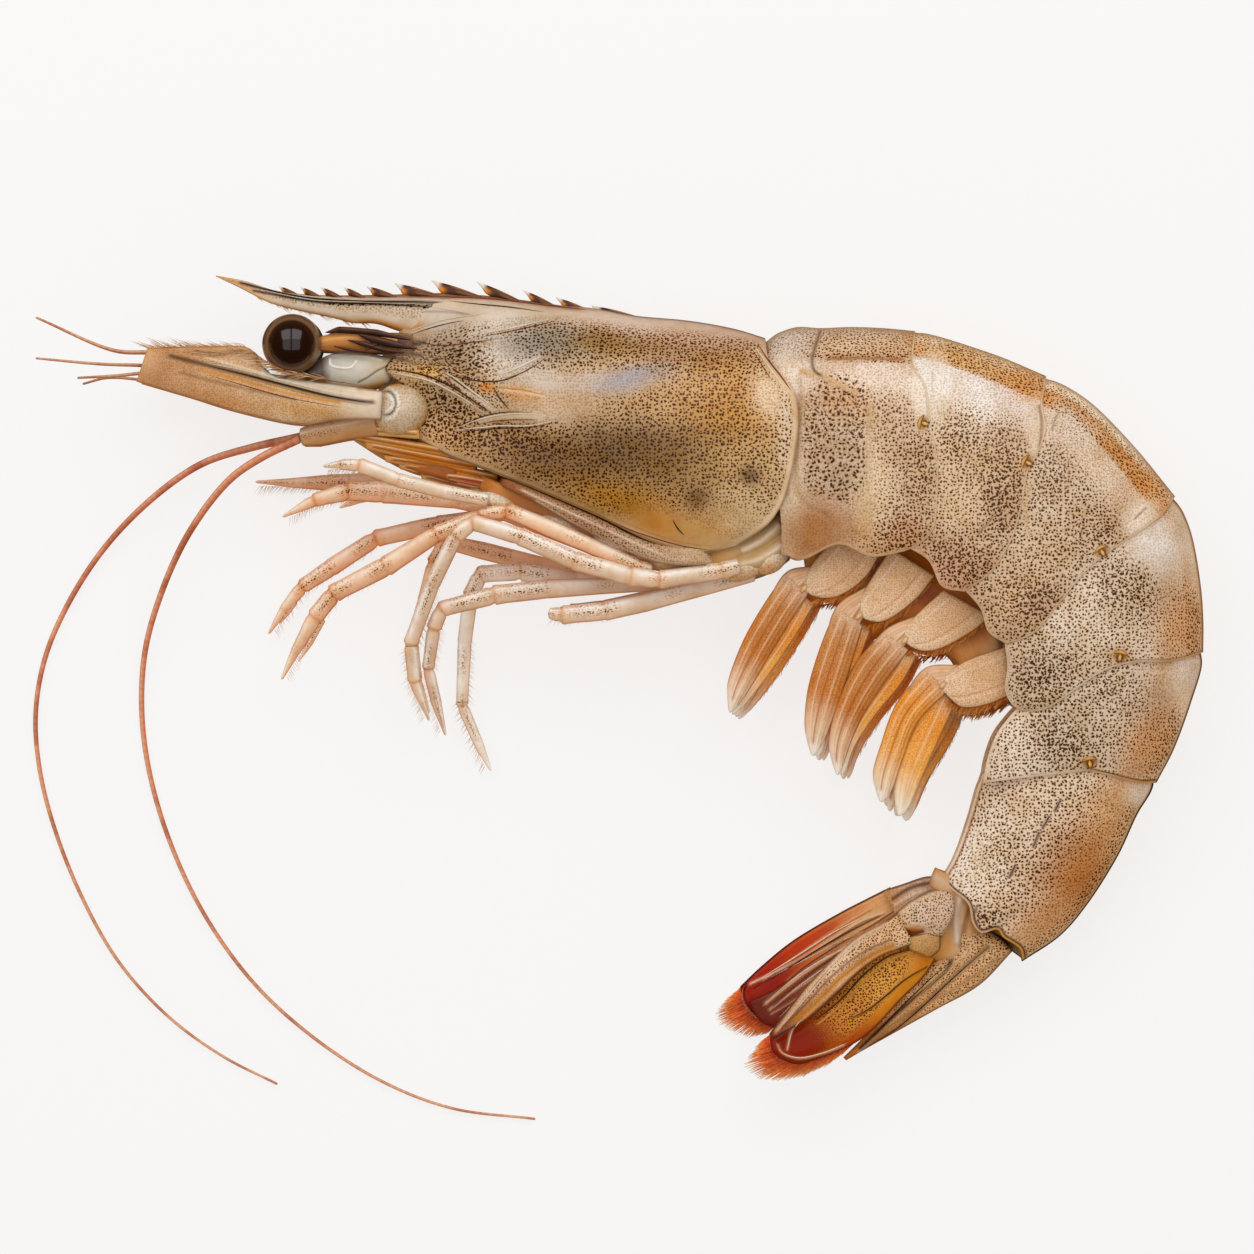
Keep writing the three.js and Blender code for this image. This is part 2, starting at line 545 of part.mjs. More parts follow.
// ---------------------------------------------------------------- carapace and rostrum
// Roundness of a shell section: nothing on the back line, full at share peak of the way down,
// and share foot of the full width at the lower edge.
const section = (t, peak, foot) => (t < peak
  ? (1 - (1 - t / peak) ** 2.2) ** 0.5
  : 1 - (1 - foot) * ((t - peak) / (1 - peak)) ** 2);

const carapaceHalfWidth = (s) => CARAPACE_FRONT_HALF_WIDTH
  + (CARAPACE_HALF_WIDTH - CARAPACE_FRONT_HALF_WIDTH) * Math.sin((Math.PI / 2) * Math.min(1, s / 0.6))
  - (CARAPACE_HALF_WIDTH - SEAM_HALF_WIDTH[0]) * Math.max(0, (s - 0.7) / 0.3);
const carapace = pillow(
  { root: CARAPACE_FRONT, tip: CARAPACE_REAR, front: CARAPACE_BACK, back: CARAPACE_EDGE },
  () => MIDPLANE, (s, t) => carapaceHalfWidth(s) * section(t, 0.5, 0.72), 20, 14, 1.5);

const crest = TOOTH_TIPS.flatMap(([x, y]) => [[x + TOOTH_NOTCH[0], y + TOOTH_NOTCH[1]], [x, y]]);
const bladeEdge = [...ROSTRUM_TIP, ...crest, ...ROSTRUM_KEEL];
const blade = new THREE.Shape(bladeEdge.map(([x, y]) => new THREE.Vector2(x, y)));
const rostrum = weld(new THREE.ExtrudeGeometry(blade, { depth: 1, bevelEnabled: false }).translate(0, 0, -0.5));
const rostrumStart = ROSTRUM_TIP[0][0];
const rostrumLength = ROSTRUM_KEEL[0][0] - rostrumStart;
for (let i = 0; i < rostrum.attributes.position.count; i += 1) {
  const share = (rostrum.attributes.position.getX(i) - rostrumStart) / rostrumLength;
  const thick = ROSTRUM_TIP_THICKNESS + (ROSTRUM_THICKNESS - ROSTRUM_TIP_THICKNESS) * share ** 0.6;
  rostrum.attributes.position.setZ(i, MIDPLANE + rostrum.attributes.position.getZ(i) * thick);
}
add('carapace', join(carapace, rostrum), SHELL);

// ---------------------------------------------------------------- underside of the head
const even = (half) => (s, t) => half * (1 - 0.25 * (2 * t - 1) ** 4);
add('breast', pillow(
  { root: BREAST_FRONT, tip: BREAST_REAR, front: BREAST_TOP, back: BREAST_EDGE },
  () => MIDPLANE, even(BREAST_HALF_WIDTH), 14, 2), FLESH);
add('mouth_field', pillow(
  { root: MOUTH_FRONT, tip: MOUTH_REAR, front: MOUTH_TOP, back: MOUTH_EDGE },
  () => MIDPLANE, even(MOUTH_HALF_WIDTH), 6, 2), FLESH);

// ---------------------------------------------------------------- abdomen
SEGMENTS.forEach(({ start, rim, back, edge }, i) => {
  const root = start ?? offset(SEGMENTS[i - 1].rim, JOINT_GAP);
  const front = SEAM_HALF_WIDTH[i] - RIM_FLARE;
  const rear = SEAM_HALF_WIDTH[i + 1] + RIM_FLARE;
  const foot = i === LAST_SEGMENT ? 0.55 : 0.84;
  const width = (s) => front + (rear - front) * s;
  const middle = (s) => SEAM_HALF_WIDTH[i] * (1 - s) + SEAM_HALF_WIDTH[i + 1] * s - FLAT;
  add(`abdomen_segment_${i + 1}`, pillow(
    { root, tip: rim, front: back, back: edge },
    middle, (s, t) => width(s) * section(t, 0.52, foot), 7, 12, 1.3), SHELL);
});

// ---------------------------------------------------------------- tail fan
const taper = ([thick, thin]) => (s, t) => (thick + (thin - thick) * s) * (1 - 0.5 * (2 * t - 1) ** 4);
add('telson', pillow(TELSON, () => TAIL_MIDPLANE, taper(TELSON_HALF_THICKNESS), 7, 4), TAIL);
for (const [side, pieces] of Object.entries(UROPODS)) {
  for (const [piece, shape] of Object.entries(pieces)) {
    add(`uropod_${piece}_${side}`, pillow(shape, () => shape.height, taper(shape.thick), 7, 3), TAIL);
  }
}

// ---------------------------------------------------------------- swimming legs
PLEOPODS.forEach((shape, i) => {
  const [high, low] = shape.height;
  const moved = Object.fromEntries(['root', 'tip', 'front', 'back'].map((edge) => [
    edge, shape[edge].map(([x, y]) => [x + PLEOPOD_STAGGER[0], y + PLEOPOD_STAGGER[1]])]));
  const depth = taper(PLEOPOD_HALF_THICKNESS);
  add(`pleopod_${i + 1}_left`, pillow(shape, (s) => high + (low - high) * s, depth, 9, 3), BLADE);
  add(`pleopod_${i + 1}_right`, pillow(
    moved, (s) => mirror(high) + (low - high) * s, depth, 9, 3), BLADE);
});

// ---------------------------------------------------------------- walking legs and mouth limbs
const FINGER_RADIUS = [0.4, 0.3, 0.08];
const FOLD_RADIUS = [0.35, 0.5, 0.5, 0.45, 0.12];
for (const [name, { path, radius, finger, fold }] of Object.entries(LIMBS)) {
  const bodies = [tube(path, radius)];
  if (finger) bodies.push(tube(finger, FINGER_RADIUS, 5));
  if (fold) bodies.push(tube(fold, FOLD_RADIUS.slice(0, fold.length - 1).concat(FOLD_RADIUS.at(-1))));
  add(name, bodies.length > 1 ? join(...bodies) : bodies[0], LIMB);
}

// ---------------------------------------------------------------- head in pairs
pair((side, height) => {
  const raise = (points) => points.map(([x, y, z]) => [x, y, height(z)]);
  add(`eye_${side}`, ball({ ...EYE, centre: raise(EYE.centre) }, 18, 12), PUPIL);
  add(`eyestalk_${side}`, tube(raise(EYESTALK.path), EYESTALK.radius, 8), FLESH);
  add(`antenna_base_${side}`, ball({ ...ANTENNA_BASE, centre: raise(ANTENNA_BASE.centre) }, 12, 8), FLESH);
  add(`antenna_stem_${side}`, tube(raise(ANTENNA_STEM.path), ANTENNA_STEM.radius, 8), LIMB);
  add(`antennule_base_${side}`, pillow(
    ANTENNULE_BASE, () => height(ANTENNULE_BASE.height), taper(ANTENNULE_BASE.thick), 5, 4), FLESH);
  add(`antennal_scale_${side}`, pillow(
    ANTENNAL_SCALE, () => height(ANTENNAL_SCALE.height), taper(ANTENNAL_SCALE.thick), 8, 4), FLESH);
});
for (const [name, shape] of Object.entries(FLAGELLA)) add(`${name}_flagellum`, feeler(shape), FEELER);

// ---------------------------------------------------------------- origin: under the middle, on the ground
const box = new THREE.Box3();
group.children.forEach((mesh) => {
  mesh.geometry.computeBoundingBox();
  box.union(mesh.geometry.boundingBox);
});
const centre = box.getCenter(new THREE.Vector3());
group.position.set(-centre.x, -centre.y, -box.min.z);

export default group;
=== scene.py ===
import bmesh
import bpy
import numpy as np
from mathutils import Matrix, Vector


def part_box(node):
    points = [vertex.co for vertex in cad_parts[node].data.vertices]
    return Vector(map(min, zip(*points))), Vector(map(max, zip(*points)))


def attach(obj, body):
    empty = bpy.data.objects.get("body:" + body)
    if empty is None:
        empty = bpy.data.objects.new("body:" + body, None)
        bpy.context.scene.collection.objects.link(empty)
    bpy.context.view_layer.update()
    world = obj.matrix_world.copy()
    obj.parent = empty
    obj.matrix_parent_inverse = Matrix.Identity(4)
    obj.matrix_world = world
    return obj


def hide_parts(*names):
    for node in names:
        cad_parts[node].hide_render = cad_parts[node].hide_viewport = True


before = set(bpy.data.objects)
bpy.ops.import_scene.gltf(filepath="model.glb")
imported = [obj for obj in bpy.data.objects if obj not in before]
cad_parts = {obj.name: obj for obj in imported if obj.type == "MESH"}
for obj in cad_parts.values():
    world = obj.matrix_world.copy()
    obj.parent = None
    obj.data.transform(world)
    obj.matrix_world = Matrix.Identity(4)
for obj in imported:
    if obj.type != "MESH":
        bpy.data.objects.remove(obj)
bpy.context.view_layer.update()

# ---- Ground, light and camera ---------------------------------------------------------------
# The shrimp lies on a pale lit table under two rows of soft panes, seen from straight above.
# Lengths on the animal are in millimetres from its own datum; place() turns them into the frame.
MM = 0.001
EYE_CENTRE = np.array([-32.3, 35.4, 12.6])
low, high = (np.array(corner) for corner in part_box("eye_left"))
DATUM = (low + high) / 2 - EYE_CENTRE * MM
VIEW_CENTRE = (1.05, 7.2, 8.8)
VIEW_WIDTH = 125.4
LENS = 300
SENSOR = 36
SKY_COLOUR, SKY_STRENGTH = (1, 0.985, 0.97, 1), 0.5
# The panes, a row at a time: height, distance towards the back, watts and depth.
PANE_ROWS = [(0.34, 0.30, 0.52, 0.3), (0.48, 0.02, 0.34, 0.42)]
PANE_WIDTH = 0.29
PANE_PITCH = PANE_WIDTH * 1.14
PANE_SHIFT = -0.05
TABLE_REACH = 3.0
TABLE_COLOUR, TABLE_ROUGHNESS = (0.16, 0.158, 0.155, 1), 0.9
TABLE_GLOW, TABLE_GLOW_STRENGTH = (1, 0.985, 0.975, 1), 0.78


def place(points):
    """Millimetres from the datum to metres in the frame: scaled, then moved."""
    return np.asarray(points, float) * MM + DATUM


camera = bpy.data.objects.new("camera", bpy.data.cameras.new("camera"))
camera.data.lens = LENS
camera.data.sensor_width = SENSOR
camera.data.clip_end = 10
camera.location = place(VIEW_CENTRE)
camera.location.z += VIEW_WIDTH * MM * LENS / SENSOR
bpy.context.scene.collection.objects.link(camera)
bpy.context.scene.camera = camera

world = bpy.data.worlds.new("studio")
world.use_nodes = True
sky = world.node_tree.nodes["Background"]
sky.inputs["Color"].default_value = SKY_COLOUR
sky.inputs["Strength"].default_value = SKY_STRENGTH
bpy.context.scene.world = world
world.cycles_visibility.glossy = False
bpy.context.scene.view_settings.view_transform = "Standard"

for row, (height, back, watts, deep) in enumerate(PANE_ROWS):
    for column in (-0.5, 0.5):
        lamp = bpy.data.lights.new(f"pane_{row}_{column > 0:d}", "AREA")
        lamp.shape, lamp.size, lamp.size_y = "RECTANGLE", PANE_WIDTH, deep
        lamp.energy = watts
        holder = bpy.data.objects.new(lamp.name, lamp)
        holder.location = (column * PANE_PITCH + PANE_SHIFT, back, height)
        holder.rotation_euler = (-np.arctan2(back, height), 0, 0)
        bpy.context.scene.collection.objects.link(holder)

table = bpy.data.meshes.new("table")
table.from_pydata([(x * TABLE_REACH, y * TABLE_REACH, 0) for x, y in ((-1, -1), (1, -1), (1, 1), (-1, 1))],
                  [], [(0, 1, 2, 3)])
ground = bpy.data.objects.new("table", table)
bpy.context.scene.collection.objects.link(ground)
paint = bpy.data.materials.new("table")
paint.use_nodes = True
surface = paint.node_tree.nodes["Principled BSDF"]
surface.inputs["Base Color"].default_value = TABLE_COLOUR
surface.inputs["Roughness"].default_value = TABLE_ROUGHNESS
surface.inputs["Emission Color"].default_value = TABLE_GLOW
surface.inputs["Emission Strength"].default_value = TABLE_GLOW_STRENGTH
table.materials.append(paint)
ground.visible_glossy = False

# ---- Carapace ---------------------------------------------------------------------------------
# The one-piece horny shell over head and gills: thin, springy and half clear, with raised
# keels, a rolled back rim and dense brown pigment cells over the tan and amber organs inside.
MIDPLANE = 8.8
COLOUR_DEPTH = 1.06
SHEET_DATUM = (616.5, 699)


def at(places):
    """Places on the drawing sheet, in tenths of a millimetre right and down from its corner,
    as a list of millimetres from the datum. A third number is the height, in millimetres."""
    return [(round((float(x) - SHEET_DATUM[0]) / 10, 2), round((SHEET_DATUM[1] - float(y)) / 10, 2),
             *map(float, z)) for x, y, *z in (place.split(",") for place in places.split())]


CARAPACE_FRONT = at("404,300 403,333 398,350 386,370 409,391 426,409 422,426 415,437 419,443")
CARAPACE_REAR = at("765,338 768,360 781,377 793,394 797,425 791,470 783,500 768,524 737,546")
CARAPACE_BACK = at("450,297 500,299 550,305 592,308 634,315.5 691,321 735,329")
CARAPACE_EDGE = at("445,456 480,468 508,479 538,491 596,516 653,543 699,554")
CARAPACE_FRONT_HALF_WIDTH = 4.4
CARAPACE_HALF_WIDTH = 8.9
CARAPACE_REAR_HALF_WIDTH = 8.7


def spline(points, count):
    """Line through the points: centripetal Catmull-Rom, cut into even steps by length."""
    p = np.array(points, float)
    p = np.vstack([2 * p[0] - p[1], p, 2 * p[-1] - p[-2]])
    k = np.concatenate([[0], np.cumsum(np.linalg.norm(np.diff(p, axis=0), axis=1) ** 0.5 + 1e-9)])
    pieces = []
    for i in range(1, len(p) - 2):
        t = np.linspace(k[i], k[i + 1], 25)[:, None]
        a = [((k[j + 1] - t) * p[j] + (t - k[j]) * p[j + 1]) / (k[j + 1] - k[j])
             for j in range(i - 1, i + 2)]
        b = [((k[i + j + 1] - t) * a[j] + (t - k[i + j - 1]) * a[j + 1]) / (k[i + j + 1] - k[i + j - 1])
             for j in range(2)]
        pieces.append(((k[i + 1] - t) * b[0] + (t - k[i]) * b[1]) / (k[i + 1] - k[i]))
    fine = np.vstack(pieces)
    length = np.concatenate([[0], np.cumsum(np.linalg.norm(np.diff(fine, axis=0), axis=1))])
    even = np.linspace(0, length[-1], count)
    return np.stack([np.interp(even, length, fine[:, d]) for d in range(p.shape[1])], axis=1)


def patch(root, tip, front, back, s, t):
    """Flat patch between four lines: the two ends blended along s, the two sides along t, less
    the four corners blended both ways. Gives x, y for every pair of s and t."""
    def along(line, share):
        fine = spline(line, 400)
        return np.stack([np.interp(share, np.linspace(0, 1, 400), fine[:, d]) for d in range(2)], axis=-1)
    near, far = along(root, t), along(tip, t)
    side = along([root[0], *front, tip[0]], s)
    other = along([root[-1], *back, tip[-1]], s)
    s, t = s[..., None], t[..., None]
    c = [np.array(q[:2], float) for q in (root[0], tip[0], root[-1], tip[-1])]
    corners = (1 - s) * (1 - t) * c[0] + s * (1 - t) * c[1] + (1 - s) * t * c[2] + s * t * c[3]
    return (1 - s) * near + s * far + (1 - t) * side + t * other - corners


def away(points, line):
    """Distance of every point to a line of points, and how far along it the nearest place is."""
    line = np.array(line, float)
    start, step = line[:-1], np.diff(line, axis=0)
    flat = points.reshape(-1, 2)
    share = ((flat[:, None] - start) * step).sum(-1) / np.maximum((step ** 2).sum(-1), 1e-12)
    share = np.clip(share, 0, 1)
    gap = np.linalg.norm(flat[:, None] - (start + share[..., None] * step), axis=-1)
    best = gap.argmin(1)
    rows = np.arange(len(flat))
    along = (best + share[rows, best]) / len(step)
    return gap[rows, best].reshape(points.shape[:-1]), along.reshape(points.shape[:-1])


def ease(low, high, x):
    """0 below low, 1 above high, and a smooth S between."""
    x = np.clip((x - low) / (high - low), 0, 1)
    return x * x * (3 - 2 * x)


def bell(x):
    """1 at x = 0, falling off as a Gauss bell of radius 1."""
    return np.exp(-x ** 2)


def keel(points, line, width, fade=0.15):
    """Bell across a smooth line, dying away over the last share of it at both ends."""
    gap, along = away(points, spline(line, 24))
    return bell(gap / width) * ease(0, fade, along) * ease(0, fade, 1 - along)


def pool(points, centre, size, turn=0.0):
    """Soft oval patch: a bell of the distance from its centre on the sheet, measured in its own
    two radii."""
    turn = np.radians(turn)
    d = points - np.array(at(centre)[0])
    u = (d[..., 0] * np.cos(turn) + d[..., 1] * np.sin(turn)) / size[0]
    v = (d[..., 1] * np.cos(turn) - d[..., 0] * np.sin(turn)) / size[1]
    return np.exp(-(u * u + v * v) ** 1.3)


def rgb(*eight_bit):
    """Linear colour from an 8-bit one."""
    c = np.array(eight_bit, float) / 255
    return np.where(c <= 0.04045, c / 12.92, ((c + 0.055) / 1.055) ** 2.4)


def plain(colour, like):
    """One colour for every point of an array."""
    return np.broadcast_to(colour, like.shape + (3,))


def lay(colour, over, share):
    """Paints one colour over another by a share for every point."""
    return colour + (np.asarray(over) - colour) * np.clip(share, 0, 1)[..., None]


def skin(name, points, nodes, material, slot=None, **paints):
    """Closed surface over a grid of points, or over several: four neighbours make a face, the
    last column joins the first, and rows or columns that fall together are merged. It stores its
    paints per point, turns its faces outward, is smooth, and rides in place of its solids. The
    slot argument is not used."""
    index = np.arange(points.size // 3).reshape(points.shape[:-1])
    beside = np.roll(index, -1, axis=-1)
    faces = np.stack([index[..., :-1, :], beside[..., :-1, :], beside[..., 1:, :], index[..., 1:, :]],
                     axis=-1)
    faces, points = faces.reshape(-1, 4), points.reshape(-1, 3)
    mesh = bpy.data.meshes.new(name)
    mesh.vertices.add(len(points))
    mesh.vertices.foreach_set("co", place(points).ravel())
    mesh.loops.add(faces.size)
    mesh.loops.foreach_set("vertex_index", faces.ravel())
    mesh.polygons.add(len(faces))
    mesh.polygons.foreach_set("loop_start", np.arange(0, faces.size, 4))
    mesh.update(calc_edges=True)
    for key, value in {"fleck": 0.0, "blotch": 0.0, "weave": points, **paints}.items():
        wide = 3 if key in ("tint", "weave") else 1
        value = np.broadcast_to(np.reshape(value, (-1, wide)), (len(points), wide))
        if key == "tint":
            grey = value @ [[0.2126], [0.7152], [0.0722]]
            value = np.clip(grey + (value - grey) * COLOUR_DEPTH, 0, 1)
            layer = mesh.attributes.new(key, "FLOAT_COLOR", "POINT")
            layer.data.foreach_set("color", np.column_stack([value, np.ones(len(points))]).ravel())
        else:
            layer = mesh.attributes.new(key, "FLOAT_VECTOR" if wide == 3 else "FLOAT", "POINT")
            layer.data.foreach_set("vector" if wide == 3 else "value", np.ascontiguousarray(value).ravel())
    solid = bmesh.new()
    solid.from_mesh(mesh)
    bmesh.ops.remove_doubles(solid, verts=solid.verts, dist=1e-7)
    bmesh.ops.recalc_face_normals(solid, faces=solid.faces)
    solid.to_mesh(mesh)
    solid.free()
    mesh.polygons.foreach_set("use_smooth", np.ones(len(mesh.polygons), bool))
    mesh.materials.append(material)
    piece = bpy.data.objects.new(name, mesh)
    bpy.context.scene.collection.objects.link(piece)
    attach(piece, "root")
    slot or material.name.split(".")[0]
    if nodes:
        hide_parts(*nodes)


class Wire:
    """A socket that can be added, taken away and multiplied as a number."""

    def __init__(self, tree, socket):
        self.tree, self.socket = tree, socket

    def node(self, kind, settings=(), out=0, **inputs):
        """New node: settings first, then inputs by name or by number (_0, _1)."""
        made = self.tree.nodes.new(kind)
        for key, value in dict(settings).items():
            setattr(made, key, value)
        for key, value in inputs.items():
            slot = made.inputs[int(key[1:]) if key[0] == "_" else key.replace("_", " ")]
            if isinstance(value, Wire):
                self.tree.links.new(value.socket, slot)
            else:
                slot.default_value = value
        return Wire(self.tree, made.outputs[out])

    def math(self, operation, other=0.0, third=0.0):
        return self.node("ShaderNodeMath", {"operation": operation}, _0=self, _1=other, _2=third)

    def __add__(self, other):
        return self.math("ADD", other)

    def __sub__(self, other):
        return self.math("SUBTRACT", other)

    def __mul__(self, other):
        return self.math("MULTIPLY", other)

    def __rsub__(self, other):
        return self.node("ShaderNodeMath", {"operation": "SUBTRACT"}, _0=other, _1=self)

    __radd__, __rmul__ = __add__, __mul__

    def between(self, low, high):
        """Smooth step from 0 at low to 1 at high."""
        return self.node("ShaderNodeMapRange", {"interpolation_type": "SMOOTHSTEP"}, Value=self,
                         From_Min=low, From_Max=high)

    def mix(self, first, second, blend="MIX"):
        """This share of the second colour over the first."""
        made = self.tree.nodes.new("ShaderNodeMix")
        made.data_type, made.blend_type = "RGBA", blend
        for slot, value in ((0, self), (6, first), (7, second)):
            if isinstance(value, Wire):
                self.tree.links.new(value.socket, made.inputs[slot])
            else:
                made.inputs[slot].default_value = value
        return Wire(self.tree, made.outputs[2])


def finish(name, build, **constants):
    """New material: constants go on the shader's own sockets, build(start) adds the nodes
    and gives what goes on the others."""
    material = bpy.data.materials.new(name)
    material.use_nodes = True
    tree = material.node_tree
    shader = tree.nodes["Principled BSDF"]
    for key, value in constants.items():
        shader.inputs[key.replace("_", " ")].default_value = value
    for key, wire in build(Wire(tree, None)).items():
        tree.links.new(wire.socket, shader.inputs[key.replace("_", " ")])
    return material


def grain(start):
    """Object place in millimetres, as a vector."""
    spot = start.node("ShaderNodeTexCoord", out=3)
    return spot.node("ShaderNodeVectorMath", {"operation": "SCALE"}, _0=spot, Scale=1 / MM)


def cells(spot, size, count, drift=0.34, soft=0.07):
    """Pigment cells: a flat Voronoi pattern whose points are blots of about the given radius.
    Noise bends the pattern and every blot has its own size. Gives 1 inside the dark core and 0
    outside, and the same for the brown haze round it."""
    push = spot.node("ShaderNodeTexNoise", Vector=spot, Scale=count * 0.6, Detail=0.0, out=1)
    push = spot.node("ShaderNodeVectorMath", {"operation": "SUBTRACT"}, _0=push, _1=(0.5, 0.5, 0.5))
    push = spot.node("ShaderNodeVectorMath", {"operation": "SCALE"}, _0=push, Scale=drift)
    moved = spot.node("ShaderNodeVectorMath", {"operation": "ADD"}, _0=spot, _1=push)
    gap = spot.node("ShaderNodeTexVoronoi", {"voronoi_dimensions": "2D"}, Vector=moved, Scale=count,
                    Randomness=0.7)
    own = Wire(spot.tree, gap.socket.node.outputs[1])
    depth = size * (own * 0.7 + 0.65) - gap
    return depth.between(-soft, soft), depth.between(-0.3, 0.04)


def shell(start):
    """Tint from the mesh, cloudy by soft noise, under three sizes of dark pigment cells: faint
    dust, the small ones and the large ones, whose radii the mesh gives. The pattern lies on the
    unrolled surface. The cells sink a little and fine pores roughen the surface."""
    spot = grain(start)
    weave = start.node("ShaderNodeAttribute", {"attribute_name": "weave"}, out=1)
    tint = start.node("ShaderNodeAttribute", {"attribute_name": "tint"})
    fleck = start.node("ShaderNodeAttribute", {"attribute_name": "fleck"}, out=2)
    blotch = start.node("ShaderNodeAttribute", {"attribute_name": "blotch"}, out=2)
    cloud = spot.node("ShaderNodeTexNoise", Vector=spot, Scale=0.35, Detail=4.0)
    streak = spot.node("ShaderNodeTexNoise", Vector=spot, Scale=1.7, Detail=3.0)
    pale = cloud.between(0.4, 0.66).mix(tint, (0.9, 0.84, 0.75, 1), "MULTIPLY")
    pale = streak.between(0.42, 0.75).mix(pale, (0.97, 0.9, 0.8, 1), "MULTIPLY")
    dust, _ = cells(weave, 0.3, 3.4, 0.3, 0.14)
    dust = dust * fleck.between(0.01, 0.08) * (0.9 - fleck.between(0.12, 0.26) * 0.5)
    few, some = fleck.between(0.1, 0.2), blotch.between(0.08, 0.18)
    small, haze = cells(weave, fleck, 2.75)
    large, ring = cells(weave, blotch, 2.1, 0.6, 0.08)
    dark = (small * few).math("MAXIMUM", large * some)
    haze = (haze * few).math("MAXIMUM", ring * some)
    inked = (dust * 0.6).mix(pale, (0.48, 0.29, 0.13, 1), "MULTIPLY")
    inked = (haze * 0.8).mix(inked, (0.84, 0.66, 0.42, 1), "MULTIPLY")
    inked = (dark * 0.97).mix(inked, (0.075, 0.032, 0.01, 1), "MULTIPLY")
    pores = spot.node("ShaderNodeTexNoise", Vector=spot, Scale=5.5, Detail=3.0)
    bump = start.node("ShaderNodeBump", Height=pores * 0.4 - dark * 0.5, Strength=0.2,
                      Distance=0.0001)
    return {"Base_Color": inked, "Normal": bump, "Roughness": 0.27 + pores * 0.14}


SHELL = finish("shell", shell, Coat_Weight=0.28, Coat_Roughness=0.07, Subsurface_Weight=0.05,
               Subsurface_Scale=0.0008, Specular_IOR_Level=0.1, IOR=1.5)


def section(t, peak, foot):
    """Half width over the depth of the body: nothing on the back, full at the peak, and the
    foot's share at the lower edge."""
    up = np.sqrt(1 - np.abs(1 - np.minimum(t, peak) / peak) ** 2.2)
    down = 1 - (1 - foot) * (np.maximum(t - peak, 0) / (1 - peak)) ** 2
    return np.where(t < peak, up, down)


def shell_piece(name, node, lines, middle, half, relief, paint, long, wide, tuck=1.0):
    """One ring of shell, closed all round, from its back line down the left side, in under the
    lower edge to the belly, and up the right side. A flat patch gives x and y, the half width
    the height over and under the midplane, and relief stands outward. The front end is drawn in
    by tuck to slip under the ring before, and the back rim is rolled inward. The pigment pattern
    gets the patch unrolled by the true length down the side."""
    t = np.concatenate([np.linspace(0, 1, wide) ** 1.25, [1.004, 0.99, 0.95, 0.9, 0.89, 0.885]])
    w = np.concatenate([np.ones(wide), [0.975, 0.94, 0.92, 0.86, 0.6, 0.25]])
    s = np.linspace(0, 1, long) ** (1.18 if tuck > 0.97 else 1.0)
    scale = np.concatenate([[0, tuck * 0.9], tuck + (1 - tuck) * ease(0, 0.16, s), [0.997, 0.99, 0.97, 0.0]])
    s = np.concatenate([[0, 0], s, [1.0, 1.0, 0.99, 0.98]])
    s2, t2 = np.meshgrid(s, t, indexing="ij")
    flat = patch(*lines, s2, np.clip(t2, 0, 1))
    heart = patch(*lines, s, np.full_like(s, 0.5))[:, None]
    tall = half(s2, np.clip(t2, 0, 1)) * w
    tall = tall + relief(flat) * ease(0, 0.5, w) * ease(0, 0.6, tall)
    paints = paint(flat, s2, t2)
    step = np.diff(flat, axis=1)
    run = np.linalg.norm(step, axis=-1) + 1e-6
    grown = step * np.minimum(np.hypot(run, np.diff(tall, axis=1)) / run, 8)[..., None]
    walk = np.concatenate([np.zeros_like(flat[:, :1]), np.cumsum(grown, axis=1)], axis=1)
    core = wide // 2
    weave = np.concatenate([flat[:, core:core + 1] + walk - walk[:, core:core + 1], 0 * tall[..., None]],
                           axis=-1)
    drawn = heart + (flat - heart) * scale[:, None, None]
    tall = tall * scale[:, None]
    sides = [np.concatenate([drawn, np.maximum(middle(s2) + sign * tall, 0)[..., None]], axis=-1)
             for sign in (1, -1)]
    points = np.concatenate([sides[0], sides[1][:, ::-1][:, :-1]], axis=1)
    paints = {key: np.concatenate([value, value[:, ::-1][:, :-1]], axis=1)
              for key, value in dict(paints, weave=weave).items()}
    skin(name, points, [node], SHELL, **paints)
    return points


def carapace_half(s, t):
    swell = (CARAPACE_HALF_WIDTH - CARAPACE_FRONT_HALF_WIDTH) * np.sin(np.pi / 2 * np.minimum(1, s / 0.6))
    waist = (CARAPACE_HALF_WIDTH - CARAPACE_REAR_HALF_WIDTH) * np.maximum(0, (s - 0.7) / 0.3)
    width = CARAPACE_FRONT_HALF_WIDTH + swell - waist
    blade_root = np.maximum(ease(0.0, 0.26, s), ease(0.2, 0.46, t))
    return width * section(t, 0.5, 0.72) * (0.13 + 0.87 * blade_root)


